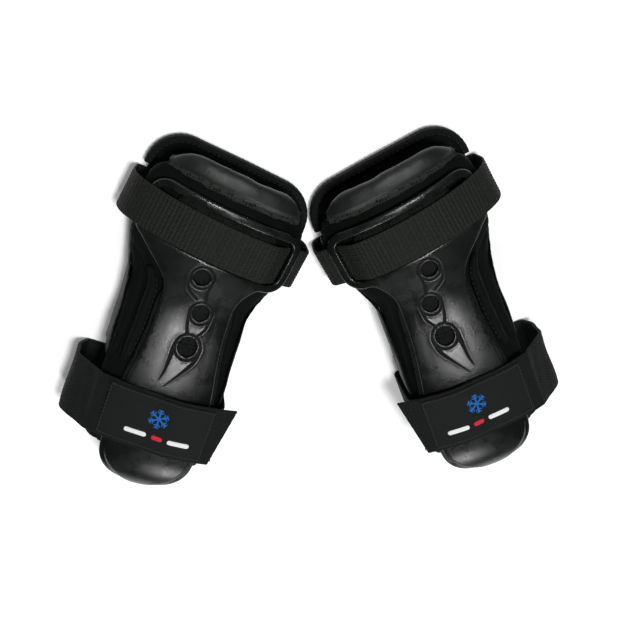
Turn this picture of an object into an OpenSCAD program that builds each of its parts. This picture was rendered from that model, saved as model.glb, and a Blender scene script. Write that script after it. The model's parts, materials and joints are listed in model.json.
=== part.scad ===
// A pair of slip-on wrist guards, lying on their dorsal sides with the palm plates up.
// Each guard is designed for the right-hand place in its own frame: x across, with the thumb side
// at +x, y along the forearm from the plate's tip at 0, z up from the surface it lies on.
// The left guard is its mirror image.

/* [Pair] */
// Lean of each guard from the centre line, in degrees
lean = 20; // [14:1:26]
// Gap between the two cuffs
pair_gap = 1.5; // [1:0.5:20]

/* [Palm plate] */
// Length of the plate, from its tip to its top bar
plate_len = 186; // [178:1:205]
// Width of the plate over the heel of the hand
palm_w = 60; // [54:1:66]
// Width of the plate at the wrist
waist_w = 44; // [38:1:52]
// Width of the strap frame at the forearm end
frame_w = 100; // [90:1:106]
// Width of the frame's bars
bar_w = 5; // [4:0.5:7]
// Slant of the frame, its strap and the cuff's edge across the forearm, in degrees
slant = 8; // [0:1:12]
// Thickness of the moulding
plate_t = 2.8; // [2:0.2:4]
// Height of the plate's outside over the heel of the hand
palm_h = 58; // [52:1:66]
// Height of the plate's outside at the wrist
wrist_h = 48; // [44:1:54]
// Height of the plate's outside at the forearm
cuff_h = 50; // [47:1:58]
// Length of the rounded nose
nose_len = 24; // [18:1:30]
// How far the nose turns down
nose_drop = 18; // [12:1:22]
// Diameter of the smallest vent hole
vent_d = 10; // [8:0.5:12]
// Distance between vent holes
vent_pitch = 21.5; // [21:0.5:25]
// Depth of the moulded grooves
groove_deep = 0.9; // [0.5:0.1:1.4]

/* [Sleeve] */
// How far the dorsal wall runs on past the plate's top bar
sleeve_over = 21; // [14:1:32]
// Width of the cuff
cuff_w = 104; // [98:1:114]
// Width of the sleeve at the wrist and hand
hand_w = 77; // [72:1:84]
// How far the sleeve is set over to the thumb side at the hand
set_over = 4; // [0:0.5:6]
// Thickness of the foam in both walls
foam_t = 4.5; // [3:0.5:6]
// Thickness of the outer fabric and of the lining
skin_t = 1; // [0.6:0.1:1.5]
// Thickness of the pad under the plate
liner_t = 4; // [3:0.5:5]
// Thickness of the stretch side panels
side_t = 2.2; // [1.6:0.2:3]
// Diameter of the padded bead beside the plate
bead_d = 7; // [5:0.5:7]
// Thickness of the stiff stay in the dorsal wall
stay_t = 1.8; // [1.2:0.2:2.2]
// Width of the dorsal stay
stay_w = 36; // [28:1:44]

/* [Straps] */
// Width of the forearm webbing
web_w = 25; // [20:1:27]
// Thickness of the forearm webbing
web_t = 1.6; // [1.2:0.1:2]
// Width of the hand strap
band_w = 38; // [34:1:42]
// Thickness of hook tape
hook_t = 0.9; // [0.6:0.1:1.2]
// Thickness of the loop tab under the hand strap
tab_t = 1.4; // [1:0.1:2]
// How far the hand strap's loop stands off the thumb side
thumb_gap = 12; // [9:1:18]

/* [Hidden] */
guard_nodes = ["palm_plate", "plate_liner", "plate_rivets", "rivet_washers", "side_bead",
    "palm_cover", "palm_foam", "palm_lining", "collar_pad",
    "dorsal_cover", "dorsal_foam", "dorsal_stay", "dorsal_lining",
    "thumb_side_panel", "inner_side_panel", "cuff_binding", "hand_binding",
    "forearm_strap", "forearm_strap_end", "forearm_hook_tape", "forearm_loop_patch",
    "hand_strap_base", "hand_strap_side", "hand_strap_tab", "hand_strap_label",
    "hand_hook_tape", "hand_loop_tab"];

// The palm side is turned about one axis along y, this far below the surface.
axis_deep = 40;
seat = 0.3;          // running gap between soft pieces that only touch
join = 0.3;          // slit between two lengths of one strap at a fold
sewn = 0.05;         // gap between a strap and what is sewn onto it
step_y = 8;          // spacing of the stations along a turned wall
tape_t = 1.2;        // thickness of the folded edge tape
band_t = web_t + hook_t;         // the hand strap is as thick as the webbing with its tape
dorsal_z = band_t;               // underside of the dorsal wall

// Places along the forearm
sleeve_bottom = nose_len - 4;
sleeve_top = plate_len + sleeve_over;
bend_from = 62;
bend_to = 125;
window_l = web_w + 4.5;
frame_l = window_l + 2 * bar_w;
frame_y = plate_len - frame_l / 2;
web_y = frame_y - (window_l - web_w) / 2 + 0.8;
flare_from = frame_y - frame_l / 2 - 24;
flare_to = frame_y - frame_l / 2 + 7;
cuff_y = frame_y - 4;
cuff_corner = 22;
palm_top = sleeve_top - 7;
end_rise = cuff_w / 2 * tan(slant);
band_y = 49;
thumb_from = 33;
thumb_to = 74;

// Depths below the plate's outside
d_liner = plate_t;
d_cover = d_liner + liner_t;
d_foam = d_cover + skin_t;
d_lining = d_foam + foam_t;
d_inside = d_lining + skin_t;

// Heights in the dorsal wall
z_foam = dorsal_z + skin_t;
z_lining = z_foam + foam_t + 0.5;
z_inside = z_lining + skin_t;

function ease(a, b, y) = let (u = min(1, max(0, (y - a) / (b - a)))) u * u * (3 - 2 * u);
function mix(a, b, t) = a + (b - a) * t;

// Height of the plate's outside on its centre line, before the nose turns down
function crown(y) = mix(palm_h, wrist_h, ease(bend_from, bend_to, y))
    + (cuff_h - wrist_h) * ease(bend_to, cuff_y, y);
// Radius of the turned palm side at depth d
function reach(y, d) = crown(y) + axis_deep - d;
// Height at x of a skin this far above the plate's outside, where its crown is h
function skin_z(x, h, lift) = sqrt(pow(h + axis_deep + lift, 2) - x * x) - axis_deep;
function nose_fall(y, inset) =
    y >= nose_len ? 0 : nose_drop * (1 - sqrt(max(0, 1 - pow((nose_len - y) / (nose_len - inset), 2))));

// Every turned wall has its stations at the same places, so that walls lie on each other without a gap.
function stations(a, b) =
    concat([a], [for (k = [ceil(a / step_y + 0.1):floor(b / step_y - 0.1)]) k * step_y], [b]);
function backwards(list) = [for (i = [len(list) - 1:-1:0]) list[i]];
function mirrored(list) = [for (p = backwards(list)) [-p[0], p[1]]];

// Half widths across the plate and across the sleeve
function plate_half(y) =
    let (body = mix(palm_w, waist_w, ease(nose_len + 12, bend_to - 12, y)) / 2,
        flare = (frame_w * 0.47 - waist_w / 2) * pow(ease(flare_from, flare_to + 6, y), 1.4))
    y < nose_len ? palm_w / 2 * sqrt(max(0, 1 - pow((nose_len * 1.05 - y) / (nose_len * 1.05), 2.1)))
    : body + flare;
function sleeve_half(y) = mix(hand_w, cuff_w, ease(bend_to - 10, cuff_y, y)) / 2;

function arc(cx, cy, r, from, to, n) =
    [for (i = [0:n]) let (a = mix(from, to, i / n)) [cx + r * cos(a), cy + r * sin(a)]];
function slab(w, l, r) = concat(
    arc(w / 2 - r, l / 2 - r, r, 0, 90, 6), arc(r - w / 2, l / 2 - r, r, 90, 180, 6),
    arc(r - w / 2, r - l / 2, r, 180, 270, 6), arc(w / 2 - r, r - l / 2, r, 270, 360, 6));

function plate_outline(grow, from, to) =
    let (side = [for (y = stations(from, to)) [plate_half(y) + grow, y]]) concat(side, mirrored(side));
function nose_outline() =
    let (side = [for (i = [0:8]) let (y = nose_len * pow(i / 8, 2)) [plate_half(y), y]],
        rest = [for (y = stations(nose_len + step_y, flare_to)) [plate_half(y), y]])
    concat(side, rest, mirrored(rest), mirrored(side));
// Plan of one side of the sleeve, s being 1 on the thumb side: its sides stand in by inset, and its
// corners at the forearm end have radius c on an edge that crosses the centre line at top, on the slant
function side_half(s, y) = sleeve_half(y) + s * set_over * (1 - ease(bend_to - 10, cuff_y, y));
function corner_y(s, inset, top, c) = top - c / cos(slant) + s * (cuff_w / 2 - inset - c) * tan(slant);
function sleeve_side(s, inset, top, c) = let (b = 8, y1 = corner_y(s, inset, top, c)) concat(
    [for (p = arc(side_half(s, sleeve_bottom) - inset - b, sleeve_bottom + b, b, -90, 0, 4)) [s * p[0], p[1]]],
    [for (y = stations(sleeve_bottom + b + step_y, y1 - 3)) [s * (side_half(s, y) - inset), y]],
    [for (p = arc(cuff_w / 2 - inset - c, y1, c, 0, 90 + s * slant, 6)) [s * p[0], p[1]]]);
function sleeve_outline(inset, top, c) =
    concat(sleeve_side(1, inset, top, c), backwards(sleeve_side(-1, inset, top, c)));

// A smooth line through a few points, with n steps between each two
function bow(a, b, c, d, t) = 0.5 * (2 * b + (c - a) * t + (2 * a - 5 * b + 4 * c - d) * t * t
    + (3 * b - a - 3 * c + d) * t * t * t);
function through(p, n) = let (m = len(p) - 1) concat([for (i = [0:m - 1], k = [0:n - 1])
    bow(p[max(0, i - 1)], p[i], p[i + 1], p[min(m, i + 2)], k / n)], [p[m]]);
function heading(p, i) = let (v = p[min(len(p) - 1, i + 1)] - p[max(0, i - 1)]) v / norm(v);
// Outline of a ribbon of thickness t whose middle follows p, moved off by out to its right
function ribbon(p, t, out = 0) = concat(
    [for (i = [0:len(p) - 1]) let (h = heading(p, i)) p[i] + [h[1], -h[0]] * (out + t / 2)],
    [for (i = [len(p) - 1:-1:0]) let (h = heading(p, i)) p[i] + [h[1], -h[0]] * (out - t / 2)]);

// Places a guard's own frame in the pair's frame: the two cuffs' round corners face each other.
nose_y = -palm_w / 2 * 0.2 * sin(lean);
corner_in = corner_y(-1, 0, sleeve_top, cuff_corner);
tip_x = pair_gap / 2 + tape_t + corner_in * sin(lean) + (cuff_w / 2 - cuff_corner) * cos(lean) + cuff_corner;
corner_out = corner_y(1, 0, sleeve_top, cuff_corner);
tip_y = -(corner_out * cos(lean) + (cuff_w / 2 - cuff_corner) * sin(lean) + cuff_corner + tape_t + nose_y) / 2;
module guard(side) {
    if (side == "right") translate([tip_x, tip_y, 0]) rotate([0, 0, lean]) children();
    else translate([-tip_x, tip_y, 0]) rotate([0, 0, -lean]) mirror([1, 0, 0]) children();
}
// The slanted frame that the forearm strap and the plate's window share
module across() translate([0, frame_y, 0]) rotate([0, 0, slant]) children();

module turned(profile)
    translate([0, 0, -axis_deep]) rotate([-90, 0, 0]) rotate_extrude($fn = 120) polygon(profile);
module upright(outline) linear_extrude(height = 90) polygon(outline);
// The part of the palm side between two depths
module skin(from, to, d_out, d_in) turned(concat([for (y = stations(from, to)) [reach(y, d_out), y]],
    [for (y = backwards(stations(from, to))) [reach(y, d_in), y]]));
// A strap: the ribbon drawn in x and z, run along y between two places
module strap(outline, from, to)
    translate([0, to, 0]) rotate([90, 0, 0]) linear_extrude(height = to - from) polygon(outline);

// ---- Palm plate and what fastens it
vent_y = flare_from - 24;
vents = [[-2, vent_y], [-3.5, vent_y + vent_pitch], [3, vent_y + 2 * vent_pitch]];
module at_vent(i) translate([vents[i][0], vents[i][1], 0]) children();
function vent_size(i) = vent_d + (i == 0 ? 1.6 : 0);
rivet_x = palm_w * 0.3;
rivet_y = band_y;
rivet_head = 7;
rivet_shank = 3.6;
head_t = 1.2;
module at_rivets(lift) for (s = [-1, 1])
    translate([0, rivet_y, -axis_deep]) rotate([0, s * asin(rivet_x / (palm_h + axis_deep)), 0])
        translate([0, 0, palm_h + axis_deep + lift]) children();

// Two grooves that run down from vent i and close in on the next, or sweep out to a point
function tail(i, s) = let (r = vent_size(i) / 2 + 1.9, v = vents[i]) i == 0
    ? [[v[0] + s * r, v[1]], [v[0] + s * r * 0.95 + 1, v[1] - 8], [v[0] + s * r * 0.6 + 4.5, v[1] - 17],
        [v[0] + s * 1.8 + 9, v[1] - 25 + s * 1.5]]
    : [[v[0] + s * r, v[1]], [v[0] + s * r * 0.85, v[1] - vent_pitch * 0.4],
        [mix(v[0], vents[i - 1][0], 0.6) + s * r * 0.45, v[1] - vent_pitch * 0.64]];
module vent_grooves() {
    for (i = [0:2]) at_vent(i) difference() {
        cylinder(d = vent_size(i) + 4.6, h = 90, $fn = 48);
        translate([0, 0, -1]) cylinder(d = vent_size(i) + 2.6, h = 92, $fn = 48);
    }
    for (i = [0:2], s = [-1, 1]) upright(ribbon(through(tail(i, s), 5), 1));
}

module palm_plate() color("#17191c") difference() {
    intersection() {
        turned(concat([for (i = [0:8]) let (y = nose_len * pow(i / 8, 2)) [reach(y, nose_fall(y, 0)), y]],
            [for (y = stations(nose_len + step_y, plate_len + 12)) [reach(y, 0), y]],
            [for (y = backwards(stations(nose_len + step_y, plate_len + 12))) [reach(y, plate_t), y]],
            [for (i = [8:-1:0]) let (y = mix(plate_t, nose_len, pow(i / 8, 2)))
                [reach(y, plate_t + nose_fall(y, plate_t)), y]],
            [[reach(0, plate_t + nose_drop), 0]]));
        union() {
            upright(nose_outline());
            across() upright(slab(frame_w, frame_l, 11));
        }
    }
    across() translate([0, 0, -1]) upright(slab(frame_w - 2 * bar_w, window_l, 6));
    for (i = [0:2]) at_vent(i) cylinder(d = vent_size(i), h = 95, $fn = 48);
    intersection() {
        skin(flare_from - 75, frame_y, -1, groove_deep);
        vent_grooves();
    }
    at_rivets(-head_t) cylinder(d = rivet_head + 0.4, h = head_t + 2, $fn = 32);
    at_rivets(-plate_t - 2) cylinder(d = rivet_shank + 0.2, h = 10, $fn = 32);
}

// The pad fills the window up to the webbing, and is cut back where the webbing dives under the inner bar.
liner_half = frame_w * 0.33;
liner_out = 2.5;
module plate_liner() color("#0d0e10") difference() {
    union() {
        intersection() {
            skin(nose_len, plate_len, d_liner, d_cover);
            union() {
                upright(plate_outline(liner_out, nose_len, flare_from));
                upright(plate_outline(0, flare_from, flare_from + 15));
                across() translate([0, -7, 0]) upright(slab(2 * liner_half, frame_l + 6, 6));
            }
        }
        intersection() {
            skin(frame_y - frame_l, plate_len + 10, 0.2, d_liner + 0.5);
            across() upright(slab(2 * liner_half - 2, window_l - 2, 6));
        }
    }
    at_rivets(-d_cover - 2) cylinder(d = rivet_shank + 0.2, h = 10, $fn = 32);
}

module plate_rivets() color("#2a2c30") at_rivets(-head_t) {
    cylinder(d = rivet_head, h = head_t, $fn = 32);
    translate([0, 0, head_t - d_lining]) cylinder(d = rivet_shank, h = d_lining - head_t, $fn = 32);
}
washer_t = 0.8;
module rivet_washers() color("#8b8f94") at_rivets(-d_lining) difference() {
    cylinder(d = rivet_head + 2, h = washer_t, $fn = 32);
    translate([0, 0, -1]) cylinder(d = rivet_shank, h = washer_t + 2, $fn = 32);
}

// A padded bead along the thumb side of the plate, as a round tube swept on the palm cover
bead_from = 78;
function bead_mid(t) =
    let (y = mix(bead_from, flare_from + 14, t), x = plate_half(y) + liner_out + bead_d / 2 + seat,
        r = reach(y, d_cover - bead_d / 2 - seat))
    [x, y, sqrt(r * r - x * x) - axis_deep];
function bead_ring(t) = let (thin = 0.35 + 0.65 * sqrt(max(0, sin(180 * t))), c = bead_mid(t))
    [for (k = [0:9]) c + bead_d / 2 * thin * [cos(36 * k), 0, sin(36 * k)]];
module side_bead() color("#15171a") {
    rings = 18;
    points = [for (i = [0:rings]) each bead_ring(i / rings)];
    faces = concat([[for (k = [9:-1:0]) k]], [[for (k = [0:9]) rings * 10 + k]],
        [for (i = [0:rings - 1], k = [0:9]) let (a = i * 10 + k, b = i * 10 + (k + 1) % 10)
            [a, b, b + 10]],
        [for (i = [0:rings - 1], k = [0:9]) let (a = i * 10 + k, b = i * 10 + (k + 1) % 10)
            [a, b + 10, a + 10]]);
    polyhedron(points, faces);
}

// ---- Sleeve walls
module above_dorsal() translate([0, 0, z_inside + seat]) children();
module palm_wall(d_out, d_in) intersection() {
    skin(sleeve_bottom, palm_top + end_rise, d_out, d_in);
    above_dorsal() upright(sleeve_outline(0, palm_top, cuff_corner));
}
module rivet_holes(d) at_rivets(-d_inside - 4) cylinder(d = d, h = d_inside + 10, $fn = 32);
module palm_cover() color("#121417") difference() {
    palm_wall(d_cover, d_foam);
    rivet_holes(rivet_shank + 0.2);
}
module palm_foam() color("#3a3c3f") difference() {
    palm_wall(d_foam, d_lining);
    rivet_holes(rivet_shank + 0.2);
    at_rivets(-d_lining - 3) cylinder(d = rivet_head + 2.4, h = 3 + washer_t + 0.1, $fn = 32);
}
module palm_lining() color("#1c1f22") palm_wall(d_lining, d_inside);

// The thick rolled edge that pads the forearm end of the palm wall: round it stands inwards as well
collar_from = plate_len - frame_y + 3;
collar_lip = 9;
module collar_layer(d_out, d_in, inset, lip) intersection() {
    skin(palm_top - 30, palm_top + end_rise + lip, d_out, d_in);
    above_dorsal() upright(sleeve_outline(inset, palm_top + lip, cuff_corner));
    across() translate([-cuff_w, collar_from, 0]) cube([2 * cuff_w, 60, 90]);
}
module collar_pad() color("#1a1d20") {
    difference() {
        union() {
            collar_layer(1, 3, 10, collar_lip - 4);
            collar_layer(3, d_inside - 2, 6, collar_lip);
            collar_layer(d_inside - 2, d_inside, 10, collar_lip - 3);
        }
        palm_wall(d_cover - seat, d_inside + 1);
    }
}

module dorsal_slab(from, to, top = sleeve_top) translate([0, 0, from]) linear_extrude(height = to - from)
    polygon(sleeve_outline(0, top, cuff_corner));
stay_from = 40;
stay_to = sleeve_top - 24;
module stay_shape(grow) {
    w = stay_w + 2 * grow;
    translate([0, (stay_from + stay_to) / 2, 0]) linear_extrude(height = stay_t + 2 * grow)
        polygon(slab(w, stay_to - stay_from + 2 * grow, w * 0.45));
}
module dorsal_cover() color("#121417") difference() {
    dorsal_slab(dorsal_z, z_foam);
    across() translate([loop_x, web_y - frame_y, dorsal_z - 1])
        linear_extrude(height = 5) square([loop_l, web_w + 6] + [0.4, 0.4], center = true);
}
module dorsal_foam() color("#3a3c3f") difference() {
    dorsal_slab(z_foam, z_lining);
    translate([0, 0, z_foam - 0.001]) stay_shape(0.3);
}
module dorsal_stay() color("#50545a") translate([0, 0, z_foam + 0.3]) stay_shape(0);
module dorsal_lining() color("#1c1f22") dorsal_slab(z_lining, z_inside);

// Stretch panel closing one side between the two walls, over a stretch of the forearm
side_end = palm_top + end_rise;
module side_wall(s, from, to) intersection() {
    turned(concat([for (y = stations(sleeve_bottom, side_end)) [reach(y, d_inside + 0.05), y]],
        [[10, side_end], [10, sleeve_bottom]]));
    translate([0, 0, z_inside]) linear_extrude(height = 60) difference() {
        polygon(sleeve_outline(0, palm_top, cuff_corner));
        polygon(sleeve_outline(side_t, palm_top + 3, cuff_corner));
    }
    translate([s > 0 ? 8 : -98, from, 0]) cube([90, to - from, 80]);
}
module thumb_side_panel() color("#14161a") {
    side_wall(1, thumb_to, corner_y(1, 0, palm_top, cuff_corner));
    side_wall(1, sleeve_bottom + 6, thumb_from);
}
module inner_side_panel() color("#14161a")
    side_wall(-1, sleeve_bottom + 6, corner_y(-1, 0, palm_top, cuff_corner));

// Folded tape round the edges of the dorsal wall
module cuff_binding() color("#0c0d0f") intersection() {
    translate([0, 0, dorsal_z]) linear_extrude(height = z_inside - dorsal_z) difference() {
        polygon(sleeve_outline(-tape_t, sleeve_top + tape_t / cos(slant), cuff_corner + tape_t));
        polygon(sleeve_outline(0, sleeve_top, cuff_corner));
    }
    across() translate([-cuff_w, web_y - frame_y + web_w / 2 + 2, 0]) cube([2 * cuff_w, 80, 60]);
}
module hand_binding() color("#0c0d0f") {
    y = sleeve_bottom - tape_t;
    w = hand_w - 20;
    translate([set_over - w / 2, y, dorsal_z]) cube([w, tape_t, z_inside - dorsal_z]);
}

// ---- Forearm strap: sewn to the dorsal wall on the inner side, under the inner bar, across the
// window and over the outer bar, then round the thumb side to its hook tape
web_lift = seat + web_t / 2;
under_bar = -plate_t - 0.5 - web_t / 2;
web_end = frame_w / 2 - 0.2;
web_side = cuff_w / 2 + 4.6;
loop_out = web_side + 3.4;
web_z = dorsal_z - web_t / 2 - 0.1;
// Running on the slant, the webbing's corners lie this much nearer the turned plate at x.
function skew(x) = abs(x) / (cuff_h + axis_deep) * web_w / 2 * sin(slant);
function web_over(x) = skin_z(x, cuff_h, web_lift) + skew(x);
function web_under(x) = skin_z(x, cuff_h, under_bar) - skew(x);
function web_run() = [for (x = [-frame_w / 2 + 1:3:web_end])
    [x, mix(web_under(x), web_over(x), ease(bar_w + 1.5 - frame_w / 2, bar_w + 13 - frame_w / 2, x))]];
function web_inner() = through([[-20, web_z], [-web_side + 14, web_z], [-web_side + 5, 1.35],
    [-web_side + 0.9, 4.2], [-web_side, 12], [-web_side + 0.6, 24], web_run()[0]], 5);
fold_x = web_end + join;
function web_end_line() = through([[fold_x, web_over(fold_x)], [loop_out - 3, 30], [loop_out, 19],
    [loop_out - 1.5, 8], [web_side + 0.6, 3.2], [web_side - 5, 1.1], [web_side - 13, web_t / 2 + sewn],
    [10, web_t / 2 + sewn]], 5);
module forearm_strap() color("#101214") across()
    strap(ribbon(concat([for (i = [0:len(web_inner()) - 2]) web_inner()[i]], web_run()), web_t),
        web_y - frame_y - web_w / 2, web_y - frame_y + web_w / 2);
module forearm_strap_end() color("#101214") across() strap(ribbon(web_end_line(), web_t),
    web_y - frame_y - web_w / 2, web_y - frame_y + web_w / 2);
tape_l = 24;
loop_l = 34;
loop_x = 27;
module forearm_hook_tape() color("#0b0c0e") across() translate([13 + tape_l / 2, web_y - frame_y, web_t + sewn])
    linear_extrude(height = hook_t - sewn) square([tape_l, web_w - 1], center = true);
module forearm_loop_patch() color("#1b1d20") across() translate([loop_x, web_y - frame_y, dorsal_z])
    linear_extrude(height = skin_t) square([loop_l, web_w + 6], center = true);

// ---- Hand strap: sewn under the dorsal wall, out past the thumb side, and back over the plate
band_from = band_y - band_w / 2;
band_to = band_y + band_w / 2;
thumb_side = hand_w / 2 + set_over;
inner_side = hand_w / 2 - set_over;
base_end = thumb_side + 5;
side_x = thumb_side + thumb_gap + band_t / 2;
top_fold = thumb_side - 1;
low = seat + band_t / 2;
hook_low = 2 * seat + tab_t;
high = hook_low + hook_t + sewn + band_t / 2;
function band_lift(x) = mix(high, low, ease(-10, 8, x));
tab_end = -palm_w / 2 - 11;
function tab_line(from, to) =
    [for (i = [0:24]) let (x = mix(from, to, i / 24)) [x, skin_z(x, palm_h, band_lift(x))]];
module hand_strap_base() color("#0f1113")
    strap([[-8, 0], [base_end - join, 0], [base_end - join, band_t], [-8, band_t]], band_from, band_to);
module hand_strap_side() color("#0f1113") {
    top = skin_z(top_fold, palm_h, low);
    strap(ribbon(through([[base_end, band_t / 2], [base_end + 3, band_t / 2 + 0.5], [side_x - 3, 5.5],
        [side_x - 0.3, 12], [side_x, 20], [side_x - 0.3, 31], [top_fold + 2.8, top - 4.5],
        [top_fold + join, top - 0.6]], 4), band_t), band_from, band_to);
}
module tab_cut()
    translate([tab_end + 3.5, band_y, 0]) rotate([0, 0, 12]) translate([-40, -40, 0]) cube([40, 80, 90]);
module hand_strap_tab() color("#0f1113") difference() {
    strap(ribbon(tab_line(top_fold - join, tab_end - 3), band_t), band_from, band_to);
    tab_cut();
}
label_w = 66;
label_l = band_w - 4;
label_t = 0.7;
module hand_strap_label() color("#23272a")
    strap(ribbon(tab_line(label_w - palm_w / 2 - 1, -palm_w / 2 - 1), label_t, band_t / 2 + label_t / 2 + sewn),
        band_y - label_l / 2, band_y + label_l / 2);
module hand_hook_tape() color("#0b0c0e")
    strap(ribbon([for (x = [-palm_w / 2 - 1:2:-12]) [x, skin_z(x, palm_h, hook_low + hook_t / 2)]], hook_t),
        band_from + 2, band_to - 2);
module hand_loop_tab() color("#1b1d20") {
    edge = inner_side + 1.6;
    up = skin_z(edge - 6, palm_h, seat + tab_t / 2);
    under = dorsal_z - tab_t / 2 - 0.1;
    rise = through([[-12, under], [-edge + 9, under], [-edge + 2.8, 1.4], [-edge - 1.4, 4], [-edge - 1.6, 12],
        [-edge - 1.2, 30], [-edge - 0.4, up - 8], [-edge + 3, up - 1.6]], 4);
    over = [for (x = [-edge + 6:2:-11]) [x, skin_z(x, palm_h, seat + tab_t / 2)]];
    strap(ribbon(concat(rise, over), tab_t), band_from + 2, band_to - 2);
}

module piece(n) {
    if (n == "palm_plate") palm_plate();
    if (n == "plate_liner") plate_liner();
    if (n == "plate_rivets") plate_rivets();
    if (n == "rivet_washers") rivet_washers();
    if (n == "side_bead") side_bead();
    if (n == "palm_cover") palm_cover();
    if (n == "palm_foam") palm_foam();
    if (n == "palm_lining") palm_lining();
    if (n == "collar_pad") collar_pad();
    if (n == "dorsal_cover") dorsal_cover();
    if (n == "dorsal_foam") dorsal_foam();
    if (n == "dorsal_stay") dorsal_stay();
    if (n == "dorsal_lining") dorsal_lining();
    if (n == "thumb_side_panel") thumb_side_panel();
    if (n == "inner_side_panel") inner_side_panel();
    if (n == "cuff_binding") cuff_binding();
    if (n == "hand_binding") hand_binding();
    if (n == "forearm_strap") forearm_strap();
    if (n == "forearm_strap_end") forearm_strap_end();
    if (n == "forearm_hook_tape") forearm_hook_tape();
    if (n == "forearm_loop_patch") forearm_loop_patch();
    if (n == "hand_strap_base") hand_strap_base();
    if (n == "hand_strap_side") hand_strap_side();
    if (n == "hand_strap_tab") hand_strap_tab();
    if (n == "hand_strap_label") hand_strap_label();
    if (n == "hand_hook_tape") hand_hook_tape();
    if (n == "hand_loop_tab") hand_loop_tab();
}
for (side = ["left", "right"], n = guard_nodes)
    guard(side) piece(n);
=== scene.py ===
"""A pair of slip-on wrist guards, lying on their dorsal sides with the palm plates up.

Every piece is made once, for the right-hand guard, in that guard's own frame: x across with the
thumb side at +x, y along the forearm from the plate's tip, z up, in millimetres. It is then laid
out on both sides of the pair, mirrored for the left.
"""
from __future__ import annotations

import json
import logging
import math
from dataclasses import dataclass, field
from enum import Enum
from typing import Callable, Sequence

import bpy
import numpy as np
from mathutils import Matrix, Vector, geometry

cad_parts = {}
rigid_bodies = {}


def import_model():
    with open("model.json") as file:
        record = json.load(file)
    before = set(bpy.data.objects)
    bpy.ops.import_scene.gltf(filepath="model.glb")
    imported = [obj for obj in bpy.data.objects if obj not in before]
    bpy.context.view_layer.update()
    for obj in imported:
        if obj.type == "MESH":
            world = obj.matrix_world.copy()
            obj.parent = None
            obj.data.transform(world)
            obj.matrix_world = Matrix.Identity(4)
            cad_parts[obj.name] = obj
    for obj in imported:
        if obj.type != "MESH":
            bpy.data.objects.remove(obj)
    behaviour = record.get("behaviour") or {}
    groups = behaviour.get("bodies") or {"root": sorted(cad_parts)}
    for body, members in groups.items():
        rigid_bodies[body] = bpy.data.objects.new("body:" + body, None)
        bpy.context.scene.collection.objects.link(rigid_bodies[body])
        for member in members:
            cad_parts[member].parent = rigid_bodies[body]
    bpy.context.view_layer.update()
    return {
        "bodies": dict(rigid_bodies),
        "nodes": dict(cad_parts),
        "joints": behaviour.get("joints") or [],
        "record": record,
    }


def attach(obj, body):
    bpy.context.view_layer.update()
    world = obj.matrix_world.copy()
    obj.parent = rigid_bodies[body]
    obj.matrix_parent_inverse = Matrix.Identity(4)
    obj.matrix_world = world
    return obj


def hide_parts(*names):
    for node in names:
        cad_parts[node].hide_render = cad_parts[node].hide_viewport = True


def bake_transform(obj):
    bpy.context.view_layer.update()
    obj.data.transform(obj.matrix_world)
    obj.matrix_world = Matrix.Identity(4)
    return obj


LOG = logging.getLogger("wrist_guards")
MM = 0.001
Array = np.ndarray
Number = Array | float
Faces = list[tuple[int, ...]]


# Sizes and form of one guard
def ease(a: float, b: float, y: Array) -> Array:
    """Smooth step from 0 at a to 1 at b."""
    u = np.clip((np.asarray(y, float) - a) / (b - a), 0.0, 1.0)
    return u * u * (3 - 2 * u)


def mix(a: Number, b: Number, t: Number) -> Number:
    """Straight blend from a to b."""
    return a + (b - a) * t


def columns(*parts: Number) -> Array:
    """Values side by side, a row to each place."""
    return np.column_stack(parts)


def wiggle(points: Array, pitch: float, seed: float = 0.0) -> Array:
    """Smooth, repeatable unevenness from -1 to 1 over points, with waves about pitch long.

    Args:
        points: places, one to a row.
        pitch: length of the waves.
        seed: shifts the waves.

    Returns:
        One value for each place.
    """
    p = np.asarray(points, float) * (2 * math.pi / pitch)
    a = np.sin(p[:, 0] + 1.7 * np.sin(0.61 * p[:, 1] + seed) + seed)
    b = np.sin(0.83 * p[:, 1] + 1.3 * np.sin(0.47 * p[:, 0] - seed) + 2.1 * seed)
    c = np.sin(0.57 * (p[:, 0] + p[:, 1]) + 0.9 * p[:, -1] + 3.7 * seed)
    return (a + b + c) / 3


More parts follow.
